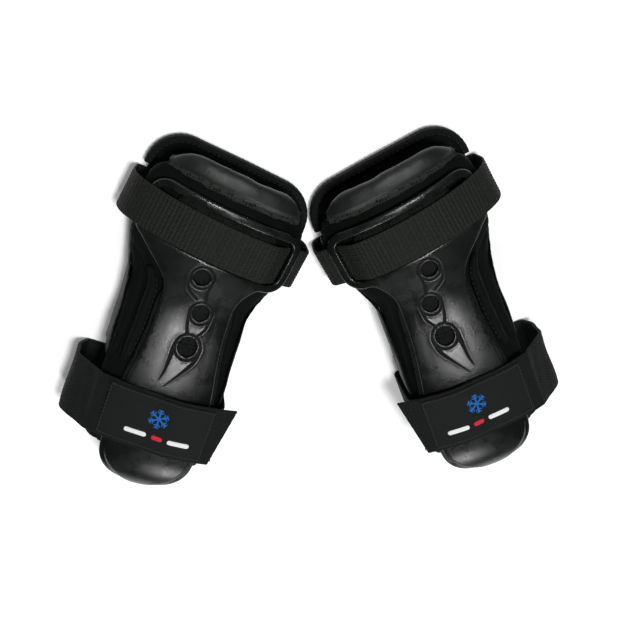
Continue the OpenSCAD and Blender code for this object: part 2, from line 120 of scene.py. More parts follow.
@dataclass(frozen=True)
class Sizes:
    """Driving sizes of one guard in millimetres, the same as the solid model's."""

    plate_len: float = 186.0
    palm_w: float = 60.0
    waist_w: float = 44.0
    frame_w: float = 100.0
    bar_w: float = 5.0
    slant: float = math.radians(8.0)
    plate_t: float = 2.8
    palm_h: float = 58.0
    wrist_h: float = 48.0
    cuff_h: float = 50.0
    nose_len: float = 24.0
    nose_drop: float = 18.0
    vent_d: float = 10.0
    vent_pitch: float = 21.5
    sleeve_over: float = 21.0
    cuff_w: float = 104.0
    hand_w: float = 77.0
    set_over: float = 4.0
    foam_t: float = 4.5
    skin_t: float = 1.0
    liner_t: float = 4.0
    bead_d: float = 7.0
    web_w: float = 25.0
    web_t: float = 1.6
    band_w: float = 38.0
    hook_t: float = 0.9
    tab_t: float = 1.4
    thumb_gap: float = 12.0
    axis_deep: float = 40.0
    seat: float = 0.3
    tape_t: float = 1.2
    cuff_corner: float = 22.0
    bend_from: float = 62.0
    bend_to: float = 125.0
    band_y: float = 49.0

    @property
    def band_t(self) -> float:
        """Thickness of the hand strap, which is also the height of the dorsal wall's underside."""
        return self.web_t + self.hook_t

    @property
    def window_l(self) -> float:
        """Length of the window that the forearm strap runs through."""
        return self.web_w + 4.5

    @property
    def frame_l(self) -> float:
        """Length of the strap frame, bars included."""
        return self.window_l + 2 * self.bar_w

    @property
    def frame_y(self) -> float:
        """Place of the strap frame's middle along the forearm."""
        return self.plate_len - self.frame_l / 2

    @property
    def web_v(self) -> float:
        """Middle of the forearm strap, along the forearm from the frame's middle."""
        return 0.8 - (self.window_l - self.web_w) / 2

    @property
    def sleeve_top(self) -> float:
        """Forearm end of the dorsal wall."""
        return self.plate_len + self.sleeve_over

    @property
    def palm_top(self) -> float:
        """Forearm end of the palm wall."""
        return self.sleeve_top - 7

    @property
    def cuff_y(self) -> float:
        """Where the sleeve reaches its full width."""
        return self.frame_y - 4

    @property
    def flare_from(self) -> float:
        """Where the plate starts to flare out into its frame."""
        return self.frame_y - self.frame_l / 2 - 24

    @property
    def flare_to(self) -> float:
        """Where the plate's flare ends."""
        return self.frame_y - self.frame_l / 2 + 7

    @property
    def thumb_side(self) -> float:
        """Edge of the sleeve at the hand, on the thumb side."""
        return self.hand_w / 2 + self.set_over

    @property
    def wall_depth(self) -> float:
        """Depth of the palm wall's outer face below the plate's outside."""
        return self.plate_t + self.liner_t

    @property
    def inside_z(self) -> float:
        """Height of the dorsal wall's inner face."""
        return self.band_t + 2 * self.skin_t + self.foam_t + 0.5

    @property
    def vents(self) -> list[tuple[float, float, float]]:
        """x, y and diameter of each vent hole, lowest first."""
        y = self.flare_from - 24
        places = ((-2.0, 0, 1.6), (-3.5, 1, 0.0), (3.0, 2, 0.0))
        return [(x, y + k * self.vent_pitch, self.vent_d + more) for x, k, more in places]


class Form:
    """The curved surfaces that the pieces of a guard share."""

    def __init__(self, sizes: Sizes) -> None:
        """Keeps the sizes that the surfaces follow."""
        self.z = sizes

    def crown(self, y: Array) -> Array:
        """Height of the plate's outside on its centre line, before the nose turns down."""
        z = self.z
        return mix(z.palm_h, z.wrist_h, ease(z.bend_from, z.bend_to, y)) + (z.cuff_h - z.wrist_h
        ) * ease(z.bend_to, z.cuff_y, y)

    def skin_z(self, x: Array, height: Array, lift: Number = 0.0) -> Array:
        """Height at x of a skin that far above the plate's outside, where its crown is height."""
        r = np.asarray(height, float) + self.z.axis_deep + lift
        return np.sqrt(np.maximum(r * r - np.asarray(x, float) ** 2, 0.0)) - self.z.axis_deep

    def nose_fall(self, y: Array) -> Array:
        """How far the rounded nose has turned down at y."""
        z = self.z
        u = np.clip((z.nose_len - np.asarray(y, float)) / z.nose_len, 0.0, 1.0)
        return z.nose_drop * (1 - np.sqrt(1 - u * u))

    def plate_half(self, y: Array) -> Array:
        """Half width of the plate at y.

        Args:
            y: place along the forearm.

        Returns:
            Half widths.
        """
        z = self.z
        y = np.asarray(y, float)
        body = mix(z.palm_w, z.waist_w, ease(z.nose_len + 12, z.bend_to - 12, y)) / 2
        rise = ease(z.flare_from, z.flare_to + 6, y) ** 1.4
        reach = z.nose_len * 1.05
        nose = 1 - np.abs(np.clip((reach - y) / reach, 0, 1)) ** 2.1
        flared = body + (z.frame_w * 0.47 - z.waist_w / 2) * rise
        return np.where(y < z.nose_len, z.palm_w / 2 * np.sqrt(np.maximum(nose, 0)), flared)

    def sleeve_half(self, side: int, y: Array) -> Array:
        """Half width of the sleeve on one side, 1 being the thumb side."""
        z = self.z
        t = ease(z.bend_to - 10, z.cuff_y, y)
        return mix(z.hand_w, z.cuff_w, t) / 2 + side * z.set_over * (1 - t)

    def across(self, u: Array, v: Array) -> tuple[Array, Array]:
        """x and y of a place given across and along the slanted strap frame."""
        c, s = math.cos(self.z.slant), math.sin(self.z.slant)
        return u * c - v * s, self.z.frame_y + u * s + v * c

    def in_frame(self, x: Array, y: Array) -> tuple[Array, Array]:
        """Place across and along the slanted strap frame of x and y."""
        c, s = math.cos(self.z.slant), math.sin(self.z.slant)
        return x * c + (y - self.z.frame_y) * s, (y - self.z.frame_y) * c - x * s

    def corner_y(self, side: int, inset: float, top: float, corner: float) -> float:
        """y of the middle of a round corner at the forearm end.

        Args:
            side: 1 for the thumb side, -1 for the other.
            inset: distance inside the outline.
            top: forearm end on the centre line.
            corner: radius.

        Returns:
            The y.
        """
        z = self.z
        return (top - corner / math.cos(z.slant)
            + side * (z.cuff_w / 2 - inset - corner) * math.tan(z.slant))

    def sleeve_outline(self, inset: float, top: float, corner: float) -> Array:
        """Plan of the sleeve as a closed loop, from the hand end round by the thumb side.

        Args:
            inset: distance inside the outline.
            top: forearm end on the centre line.
            corner: radius of the corners there.

        Returns:
            Places along the loop.
        """
        z = self.z
        rim = 8.0
        bottom = z.nose_len - 4
        sides = []
        for s in (1, -1):
            end = self.corner_y(s, inset, top, corner)
            x0 = float(self.sleeve_half(s, bottom)) - inset - rim
            low = round_arc(x0, bottom + rim, rim, -90, 0, 8)
            ys = np.arange(bottom + rim + 4, end - 2, 4.0)
            mid = columns(self.sleeve_half(s, ys) - inset, ys)
            turn = 90 + s * math.degrees(z.slant)
            high = round_arc(z.cuff_w / 2 - inset - corner, end, corner, 0, turn, 14)
            side = np.vstack([low, mid, high])
            sides.append(side * (s, 1))
        return np.vstack([sides[0], sides[1][::-1]])


def round_arc(cx: float, cy: float, r: float, start: float, stop: float, steps: int) -> Array:
    """Points of an arc, its angles in degrees."""
    a = np.radians(np.linspace(start, stop, steps + 1))
    return columns(cx + r * np.cos(a), cy + r * np.sin(a))


def slab(w: float, length: float, r: float) -> Array:
    """Closed outline of a rectangle with round corners, about its middle.

    Args:
        w: width.
        length: length.
        r: radius of the corners.

    Returns:
        Places along the outline.
    """
    x, y = w / 2 - r, length / 2 - r
    corners = ((x, y, 0), (-x, y, 90), (-x, -y, 180), (x, -y, 270))
    return np.vstack([round_arc(cx, cy, r, a, a + 90, 10) for cx, cy, a in corners])


def curve_through(points: Sequence[Sequence[float]], steps: int) -> Array:
    """A smooth line through a few points, with that many steps between each two.

    Args:
        points: places that the line goes through.
        steps: parts between each two.

    Returns:
        Places along the line.
    """
    p = np.asarray(points, float)
    m = len(p) - 1
    out = []
    for i in range(m):
        a, b, c, d = p[max(0, i - 1)], p[i], p[i + 1], p[min(m, i + 2)]
        for t in np.arange(steps) / steps:
            q = 2 * b + (c - a) * t + (2 * a - 5 * b + 4 * c - d) * t * t
            out.append(0.5 * (q + (3 * b - a - 3 * c + d) * t**3))
    out.append(p[m])
    return np.array(out)


def even_steps(line: Array, step: float, closed: bool = False) -> Array:
    """The same line with its points about step apart.

    Args:
        line: places along it.
        step: spacing wanted.
        closed: whether it runs back to its start.

    Returns:
        The new places.
    """
    p = np.vstack([line, line[:1]]) if closed else np.asarray(line, float)
    d = np.linalg.norm(np.diff(p, axis=0), axis=1)
    keep = np.concatenate([[True], d > 1e-6])
    p = p[keep]
    s = np.concatenate([[0], np.cumsum(np.linalg.norm(np.diff(p, axis=0), axis=1))])
    n = max(2, int(round(s[-1] / step)))
    at = np.linspace(0, s[-1], n + 1)
    if closed:
        at = at[:-1]
    return columns(*[np.interp(at, s, p[:, k]) for k in range(p.shape[1])])


def soften_loop(loop: Array, rounds: int) -> Array:
    """A closed loop with its kinks rounded off.

    Args:
        loop: places along it.
        rounds: times that it is smoothed.

    Returns:
        The smoother loop.
    """
    for _ in range(rounds):
        loop = 0.5 * loop + 0.25 * (np.roll(loop, 1, 0) + np.roll(loop, -1, 0))
    return loop


def inside(points: Array, loop: Array) -> Array:
    """Which points lie in a closed loop.

    Args:
        points: flat places.
        loop: a closed outline.

    Returns:
        True for each place inside.
    """
    x, y = points[:, 0][:, None], points[:, 1][:, None]
    a, b = loop, np.roll(loop, -1, 0)
    crosses = (a[:, 1] > y) != (b[:, 1] > y)
    rise = np.where(b[:, 1] == a[:, 1], 1e-12, b[:, 1] - a[:, 1])
    at = (b[:, 0] - a[:, 0]) * (y - a[:, 1]) / rise + a[:, 0]
    return (crosses & (x < at)).sum(1) % 2 == 1


def distance(points: Array, line: Array, closed: bool) -> tuple[Array, Array]:
    """Distance from each point to a line, and how far along the line, from 0 to 1, that is.

    Args:
        points: flat places.
        line: a line or outline.
        closed: whether it runs back to its start.

    Returns:
        Distances, and shares of the length.
    """
    a = line if closed else line[:-1]
    b = np.roll(line, -1, 0) if closed else line[1:]
    best = np.full(len(points), 1e9)
    along = np.zeros(len(points))
    for i, (p, q) in enumerate(zip(a, b)):
        d = q - p
        t = np.clip(((points - p) @ d) / max(d @ d, 1e-12), 0, 1)
        far = np.linalg.norm(points - (p + t[:, None] * d), axis=1)
        nearer = far < best
        best[nearer] = far[nearer]
        along[nearer] = (i + t[nearer]) / len(a)
    return best, along


# Meshes in a guard's own frame
@dataclass
class Shape:
    """Points in millimetres and faces, with what the finishes need to know of each point."""

    points: Array
    faces: Faces
    cloth: Array | None = None
    edge: Array | None = None
    finish_of: list[int] | None = None

    def join(self, other: "Shape") -> "Shape":
        """This shape and another one in one mesh.

        Args:
            other: the shape to add.

        Returns:
            The joined shape.
        """
        n = len(self.points)
        moved = [tuple(i + n for i in f) for f in other.faces]
        mine = self.finish_of or [0] * len(self.faces)
        theirs = other.finish_of or [0] * len(other.faces)
        return Shape(np.vstack([self.points, other.points]), self.faces + moved,
            np.vstack([self.chart(), other.chart()]), np.concatenate([self.edges(), other.edges()]),
            mine + theirs)

    def chart(self) -> Array:
        """Where each point lies in the cloth, in millimetres."""
        return self.points if self.cloth is None else self.cloth

    def edges(self) -> Array:
        """How near each point is to a worn edge, from 0 to 1; below 0 marks painted groove shade."""
        return np.zeros(len(self.points)) if self.edge is None else self.edge


def triangulate(loops: list[Array], extra: Array, keep: Callable[[Array], Array]) -> tuple[Array, Array]:
    """Triangles over flat loops and loose points.

    Args:
        loops: closed loops whose edges the triangles follow.
        extra: further points between the loops.
        keep: says which of the given middles of triangles are wanted.

    Returns:
        The points and the kept triangles.
    """
    points: list[Vector] = []
    edges: list[tuple[int, int]] = []
    for loop in loops:
        n = len(points)
        points += [Vector(p) for p in loop]
        edges += [(n + i, n + (i + 1) % len(loop)) for i in range(len(loop))]
    points += [Vector(p) for p in extra]
    made = geometry.delaunay_2d_cdt(points, edges, [], 0, 1e-5)
    flat = np.array([tuple(v) for v in made[0]])
    tris = np.array([tuple(f) for f in made[2] if len(f) == 3])
    a, b, c = flat[tris[:, 0]], flat[tris[:, 1]], flat[tris[:, 2]]
    area = (b[:, 0] - a[:, 0]) * (c[:, 1] - a[:, 1]) - (b[:, 1] - a[:, 1]) * (c[:, 0] - a[:, 0])
    tris[area < 0] = tris[area < 0][:, ::-1]
    tris = tris[np.abs(area) > 1e-6]
    tris = tris[keep(flat[tris].mean(1))]
    used = np.unique(tris)
    number = np.zeros(len(flat), int)
    number[used] = np.arange(len(used))
    return flat[used], number[tris]


def border(tris: Array) -> list[tuple[int, int]]:
    """The directed edges that only one triangle has."""
    directed = {(int(a), int(b)) for t in tris for a, b in ((t[0], t[1]), (t[1], t[2]), (t[2], t[0]))}
    return [e for e in directed if (e[1], e[0]) not in directed]


def border_loops(tris: Array) -> list[list[int]]:
    """The closed loops round a flat mesh, longest first.

    Args:
        tris: corners of each triangle.

    Returns:
        The point numbers of each loop.
    """
    follow = dict(border(tris))
    loops = []
    while follow:
        start = next(iter(follow))
        loop = [start]
        at = follow.pop(start)
        while at != start and at in follow:
            loop.append(at)
            at = follow.pop(at)
        loops.append(loop)
    return sorted(loops, key=len, reverse=True)


def united(loops: list[Array]) -> Array:
    """The outline round several overlapping loops.

    Args:
        loops: closed outlines.

    Returns:
        One closed outline.
    """
    flat, tris = triangulate(
        loops, np.empty((0, 2)), lambda mid: np.any([inside(mid, loop) for loop in loops], axis=0))
    return flat[border_loops(tris)[0]]


@dataclass
class Sheet:
    """A curved sheet of even thickness, drawn flat and lifted onto a surface, with a rounded rim."""

    outline: Array
    surface: Callable[[Array, Array], Array]
    thick: float
    rim: float
    holes: list[Array] = field(default_factory=list)
    step: float = 2.2
    fine: Array | None = None
    relief: Callable[[Array, Array], Array] | None = None
    # Painted shade for the grooves, taken off the edge values in build.
    shade: Callable[[Array], Array] | None = None

    def _grid(self) -> Array:
        """Loose points that fill the outline."""
        lo, hi = self.outline.min(0), self.outline.max(0)
        xs = np.arange(lo[0], hi[0], self.step)
        ys = np.arange(lo[1], hi[1], self.step)
        gx, gy = np.meshgrid(xs, ys)
        gx = gx + (np.arange(len(ys)) % 2)[:, None] * self.step / 2
        return columns(gx.ravel(), gy.ravel())

    def _rings(self) -> Array:
        """Loose points in rows beside each edge, which shape the rounded rim."""
        rows = []
        for loop in [self.outline] + self.holes:
            ahead = np.roll(loop, -1, 0) - np.roll(loop, 1, 0)
            ahead /= np.maximum(np.linalg.norm(ahead, axis=1), 1e-9)[:, None]
            side = columns(-ahead[:, 1], ahead[:, 0])
            for share in (0.15, 0.45, 0.9):
                rows += [loop + side * self.rim * share, loop - side * self.rim * share]
        return np.vstack(rows)

    def _gap(self, points: Array) -> Array:
        """Distance from each point to the nearest edge."""
        return np.min([distance(points, loop, True)[0] for loop in [self.outline] + self.holes], axis=0)

    def build(self) -> Shape:
        """The sheet as a closed mesh."""
        loops = [self.outline] + self.holes

        def wanted(points: Array) -> Array:
            """Points in the outline and in no hole."""
            ok = inside(points, self.outline)
            for hole in self.holes:
                ok &= ~inside(points, hole)
            return ok

        grid = self._grid()
        grid = grid[wanted(grid)]
        grid = grid[self._gap(grid) > self.rim + 0.5]
        rings = self._rings()
        rings = rings[wanted(rings)]
        rings = rings[self._gap(rings) > self.rim * 0.12]
        extra = np.vstack([grid, rings])
        if self.fine is not None:
            fine = self.fine[wanted(self.fine)]
            fine = fine[self._gap(fine) > self.rim + 0.1]
            far = np.ones(len(extra), bool)
            cells = {(int(p[0] // 1), int(p[1] // 1)) for p in fine}
            for i, p in enumerate(extra):
                far[i] = (int(p[0] // 1), int(p[1] // 1)) not in cells
            extra = np.vstack([extra[far], fine])
        flat, tris = triangulate(loops, extra, wanted)
        gap = self._gap(flat)
        near = np.clip(self.rim - gap, 0, self.rim)
        drop = self.rim - np.sqrt(self.rim**2 - near**2)
        if self.relief is not None:
            drop = drop + self.relief(flat, gap)
        base = self.surface(flat[:, 0], flat[:, 1])
        e = 0.05
        side = self.surface(flat[:, 0] + e, flat[:, 1]) - self.surface(flat[:, 0] - e, flat[:, 1])
        ahead = self.surface(flat[:, 0], flat[:, 1] + e) - self.surface(flat[:, 0], flat[:, 1] - e)
        normal = np.cross(side, ahead)
        normal /= np.linalg.norm(normal, axis=1)[:, None]
        n = len(flat)
        top = base - normal * drop[:, None]
        bottom = base - normal * self.thick
        faces = [tuple(int(i) for i in t) for t in tris]
        faces += [tuple(int(i) + n for i in t[::-1]) for t in tris]
        faces += [(a, a + n, b + n, b) for a, b in border(tris)]
        # Edge wear near the rim; where a shade is given, painted shade pulls the values below zero in the
        # grooves, which the material paints near black.
        worn = np.clip(1 - gap / (self.rim * 1.6), 0, 1)
        if self.shade is not None:
            worn = worn - self.shade(flat)
        return Shape(np.vstack([top, bottom]), faces, np.vstack([base, bottom]),
            np.concatenate([worn, np.zeros(n)]))


@dataclass
class Ribbon:
    """A flat strap that follows a line in its own upright plane and runs level across its width."""

    line: Array
    width: float
    thick: float
    middle: float
    place: Callable[[Array, Array], tuple[Array, Array]]
    step: float = 0.9
    lanes: int = 30
    weave: Callable[[Array, Array], Array] | None = None
    sway: Callable[[Array, Array], Array] | None = None
    start_cut: float = 0.0

    def frames(self) -> tuple[Array, Array, Array]:
        """Places, normals and lengths along the line."""
        p = even_steps(self.line, self.step)
        h = np.gradient(p, axis=0)
        h /= np.linalg.norm(h, axis=1)[:, None]
        s = np.concatenate([[0], np.cumsum(np.linalg.norm(np.diff(p, axis=0), axis=1))])
        return p, columns(-h[:, 1], h[:, 0]), s

    def build(self) -> Shape:
        """The strap as a closed mesh, its outer face on the left of the line."""
        p, normal, s = self.frames()
        lane = np.linspace(-1, 1, self.lanes + 1)
        half, t = self.width / 2, self.thick / 2
        r = min(t, 0.8)
        tight = np.sign(lane) * (1 - (1 - np.abs(lane)) ** 1.15)
        reach = (half - r) * tight
        turn = np.radians(np.linspace(90, -90, 7))[1:-1]
        v = np.concatenate([reach, half - r + r * np.cos(turn), reach[::-1], -(half - r + r * np.cos(turn))])
        up = np.concatenate([np.ones(len(reach)), np.sin(turn), -np.ones(len(reach)), -np.sin(turn)])
        ring = len(v)
        cut = self.start_cut * (1 - s / s[-1])
        ends = np.minimum(s, s[-1] - s)
        pinch = np.where(ends < r, np.sqrt(np.maximum(1 - (1 - ends / r) ** 2, 0.06)), 1.0)
        vv, ss = np.meshgrid(v, s)
        uu = np.broadcast_to(up, vv.shape)
        lift = uu * t * pinch[:, None]
        if self.weave is not None:
            lift = lift + self.weave(ss, vv) * uu
        if self.sway is not None:
            lift = lift + self.sway(ss, vv)
        shift = np.zeros_like(vv)
        if self.start_cut:
            shift = vv * np.tan(cut)[:, None] * (1 - ss / s[-1]) ** 6
        h = columns(normal[:, 1], -normal[:, 0])
        u = p[:, 0][:, None] + normal[:, 0][:, None] * lift + h[:, 0][:, None] * shift
        z = p[:, 1][:, None] + normal[:, 1][:, None] * lift + h[:, 1][:, None] * shift
        x, y = self.place(u, self.middle + vv)
        points = columns(x.ravel(), y.ravel(), z.ravel())
        faces: Faces = []
        for i in range(len(s) - 1):
            a = i * ring
            for k in range(ring):
                m = (k + 1) % ring
                faces.append((a + k, a + ring + k, a + ring + m, a + m))
        last = (len(s) - 1) * ring
        n = self.lanes + 1
        wrap = len(turn)
        for base, flip in ((0, False), (last, True)):
            for k in range(self.lanes):
                lower = 2 * n + wrap - 1 - k
                quad = (base + k, base + k + 1, base + lower - 1, base + lower)
                faces.append(quad[::-1] if flip else quad)
            right = (base + n - 1, *range(base + n, base + n + wrap), base + n + wrap)
            left = (base, base + 2 * n + wrap - 1, *range(base + 2 * n + wrap, base + ring))
            faces.append(right[::-1] if flip else right)
            faces.append(left if flip else left[::-1])
        edge = np.clip(1 - (half - np.abs(vv)) / 1.2, 0, 1).ravel()
        chart = columns(ss.ravel(), vv.ravel(), (uu * t).ravel())
        return Shape(points, oriented(points, faces), chart, edge)

    def on_face(self, s: Array, v: Array, lift: float) -> tuple[Array, Array]:
        """Places on the strap's outer face, and the directions straight out from them.

        Args:
            s: places along the line.
            v: places across the width.
            lift: height above the face.

        Returns:
            Places and outward directions.
        """
        p, normal, length = self.frames()
        at = columns(*[np.interp(s, length, p[:, k]) for k in range(2)])
        n = columns(*[np.interp(s, length, normal[:, k]) for k in range(2)])
        n /= np.linalg.norm(n, axis=1)[:, None]
        at = at + n * (self.thick / 2 + lift)
        x, y = self.place(at[:, 0], self.middle + np.asarray(v, float))
        x2, y2 = self.place(at[:, 0] + n[:, 0], self.middle + np.asarray(v, float))
        return columns(x, y, at[:, 1]), columns(x2 - x, y2 - y, n[:, 1])


def oriented(points: Array, faces: Faces) -> Faces:
    """The faces of a closed mesh, turned so that they all look outwards.

    Args:
        points: places of the corners.
        faces: corners of each face.

    Returns:
        The faces, turned where need be.
    """
    volume = 0.0
    for f in faces:
        for k in range(1, len(f) - 1):
            a, b, c = points[f[0]], points[f[k]], points[f[k + 1]]
            volume += a @ np.cross(b, c)
    return faces if volume > 0 else [f[::-1] for f in faces]


def tube(line: Array, radius: Array, sides: int) -> Shape:
    """A closed round tube along a line in space.

    Args:
        line: places along its middle.
        radius: its radius at each place.
        sides: points round it.

    Returns:
        The tube, closed at both ends.
    """
    ahead = np.gradient(line, axis=0)
    ahead /= np.maximum(np.linalg.norm(ahead, axis=1), 1e-9)[:, None]
    side = np.cross(ahead, (0.0, 0.0, 1.0))
    bare = np.linalg.norm(side, axis=1) < 1e-3
    side[bare] = (1.0, 0.0, 0.0)
    side /= np.linalg.norm(side, axis=1)[:, None]
    up = np.cross(side, ahead)
    a = np.linspace(0, 2 * math.pi, sides, endpoint=False)
    r = np.asarray(radius, float)[:, None, None]
    ring = np.cos(a)[None, :, None] * side[:, None, :] + np.sin(a)[None, :, None] * up[:, None, :]
    points = (line[:, None, :] + r * ring).reshape(-1, 3)
    n = len(line)
    faces = [
        (i * sides + k, i * sides + (k + 1) % sides, (i + 1) * sides + (k + 1) % sides, (i + 1) * sides + k)
        for i in range(n - 1) for k in range(sides)]
    faces.append(tuple(range(sides))[::-1])
    faces.append(tuple(range((n - 1) * sides, n * sides)))
    length = np.concatenate([[0], np.cumsum(np.linalg.norm(np.diff(line, axis=0), axis=1))])
    chart = np.column_stack(
        [np.repeat(length, sides), np.tile(a * float(np.max(radius)), n), np.zeros(n * sides)])
    return Shape(points, oriented(points, faces), chart)


def stitches(places: Array, outward: Array, long: float = 2.3, gap: float = 1.1, thread: float = 0.32
) -> Shape:
    """A row of thread stitches along a line on a surface.

    Args:
        places: closely spaced places of the seam.
        outward: the surface's direction at each place.
        long: length of one stitch.
        gap: space between stitches.
        thread: half the thread's thickness.

    Returns:
        The whole row as one mesh.
    """
    s = np.concatenate([[0], np.cumsum(np.linalg.norm(np.diff(places, axis=0), axis=1))])
    starts = np.arange(gap / 2, s[-1] - long, long + gap)
    row: Shape | None = None
    t = np.linspace(0, 1, 6)
    for start in starts:
        at = start + long * t
        line = columns(*[np.interp(at, s, places[:, k]) for k in range(3)])
        out = columns(*[np.interp(at, s, outward[:, k]) for k in range(3)])
        line = line + out * (thread * (1.1 * np.sin(math.pi * t) - 0.45))[:, None]
        one = tube(line, thread * (0.55 + 0.45 * np.sin(math.pi * t)), 6)
        row = one if row is None else row.join(one)
    if row is None:
        raise ValueError("the seam is shorter than one stitch")
    return row


# Finishes
class Pattern(Enum):
    """What the surface of a finish is made of."""

    GRAIN = "grain"
    WEAVE = "weave"
    KNIT = "knit"
    BRUSHED = "brushed"


@dataclass(frozen=True)
class Finish:
    """One finish: its two tones, its gloss and the pattern that its surface has."""

    name: str
    dark: tuple[float, float, float]
    light: tuple[float, float, float]
    pattern: Pattern
    pitch: tuple[float, float]
    relief: float
    rough: tuple[float, float]
    sheen: float = 0.0
    specular: float = 0.5
    metallic: float = 0.0
    wear: float = 0.25
    lint: float = 0.0


PLATE = Finish("moulded_plate", (0.0016, 0.0019, 0.0019), (0.0046, 0.0052, 0.0052), Pattern.GRAIN,
               (0.6, 0.6), 0.08, (0.20, 0.33), specular=0.36, wear=0.4)
LINER = Finish("liner_mesh", (0.0008, 0.0010, 0.0010), (0.0075, 0.0085, 0.0078), Pattern.KNIT,
               (2.2, 2.2), 0.45, (0.7, 0.85), specular=0.08)
COVER = Finish("brushed_cover", (0.0010, 0.0014, 0.0014), (0.0038, 0.0046, 0.0044), Pattern.BRUSHED,
               (0.8, 0.8), 0.14, (0.65, 0.85), sheen=0.01, specular=0.06, lint=0.35)
STRETCH = Finish("stretch_side", (0.0010, 0.0014, 0.0014), (0.0036, 0.0043, 0.0042), Pattern.BRUSHED,
                 (0.6, 0.6), 0.10, (0.45, 0.65), sheen=0.01, specular=0.10, lint=0.25)
# Painted highlight: the collar roll's tones are set lighter all over, standing in for the sheen along its
# crest.
COLLAR = Finish("collar_roll", (0.0022, 0.0029, 0.0029), (0.0085, 0.0100, 0.0096), Pattern.BRUSHED,
                (0.7, 0.7), 0.12, (0.40, 0.54), sheen=0.02, specular=0.32, lint=0.35)
COLLAR_MESH = Finish("collar_mesh", (0.0006, 0.0008, 0.0008), (0.019, 0.021, 0.019), Pattern.KNIT,
                     (2.0, 2.4), 0.7, (0.6, 0.8), specular=0.10)
LINING = Finish("lining_knit", (0.0014, 0.0018, 0.0018), (0.0048, 0.0057, 0.0054), Pattern.KNIT,
                (1.5, 1.5), 0.25, (0.75, 0.9), sheen=0.01, specular=0.06, lint=0.25)
BINDING = Finish("binding_tape", (0.0009, 0.0011, 0.0012), (0.0036, 0.0043, 0.0043), Pattern.WEAVE,
                 (0.7, 0.7), 0.10, (0.55, 0.75), specular=0.12)
WEBBING = Finish("forearm_webbing", (0.0005, 0.0007, 0.0006), (0.0105, 0.0125, 0.0098), Pattern.WEAVE,
                 (2.6, 1.9), 0.22, (0.5, 0.75), specular=0.16, wear=0.2, lint=0.15)
ELASTIC = Finish("strap_elastic", (0.0004, 0.0006, 0.0006), (0.0085, 0.0102, 0.0096), Pattern.WEAVE,
                 (1.6, 1.0), 0.2, (0.55, 0.75), specular=0.10, wear=0.2, lint=0.25)
LABEL = Finish("label_weave", (0.0034, 0.0042, 0.0040), (0.0090, 0.0108, 0.0100), Pattern.WEAVE,
               (0.5, 0.4), 0.06, (0.55, 0.7), specular=0.10)
HOOK = Finish("hook_tape", (0.0008, 0.0010, 0.0011), (0.0034, 0.0038, 0.0042), Pattern.KNIT,
              (1.3, 1.3), 0.4, (0.45, 0.65), specular=0.15)
PILE = Finish("loop_pile", (0.0013, 0.0017, 0.0018), (0.0056, 0.0066, 0.0064), Pattern.BRUSHED,
              (1.0, 1.0), 0.35, (0.8, 0.95), sheen=0.02, specular=0.05, lint=0.3)
THREAD = Finish("seam_thread", (0.0024, 0.0029, 0.0029), (0.0100, 0.0118, 0.0112), Pattern.WEAVE,
                (0.4, 0.4), 0.04, (0.45, 0.65), specular=0.2)
BORDER = Finish("border_thread", (0.008, 0.009, 0.009), (0.034, 0.039, 0.037), Pattern.WEAVE,
                (0.4, 0.4), 0.04, (0.45, 0.65), specular=0.2)
THREAD_BLUE = Finish("mark_blue", (0.004, 0.075, 0.29), (0.008, 0.13, 0.46), Pattern.WEAVE,
                     (0.5, 0.3), 0.06, (0.4, 0.6), specular=0.25)
THREAD_RED = Finish("mark_red", (0.33, 0.008, 0.012), (0.55, 0.02, 0.03), Pattern.WEAVE,
                    (0.5, 0.3), 0.06, (0.4, 0.6), specular=0.25)
THREAD_WHITE = Finish("mark_white", (0.55, 0.56, 0.57), (0.78, 0.79, 0.79), Pattern.WEAVE,
                      (0.5, 0.3), 0.06, (0.4, 0.6), specular=0.25)
RIVET = Finish("rivet_head", (0.008, 0.0085, 0.009), (0.018, 0.019, 0.02), Pattern.GRAIN,
               (0.4, 0.4), 0.03, (0.35, 0.5), wear=0.4)
WASHER = Finish("washer_steel", (0.34, 0.35, 0.36), (0.58, 0.59, 0.6), Pattern.GRAIN,
                (0.3, 1.2), 0.03, (0.28, 0.45), metallic=1.0, wear=0.2)
STAY = Finish("stay_plastic", (0.02, 0.021, 0.023), (0.035, 0.037, 0.04), Pattern.GRAIN,
              (1.5, 1.5), 0.05, (0.5, 0.65))


Socket = bpy.types.NodeSocket


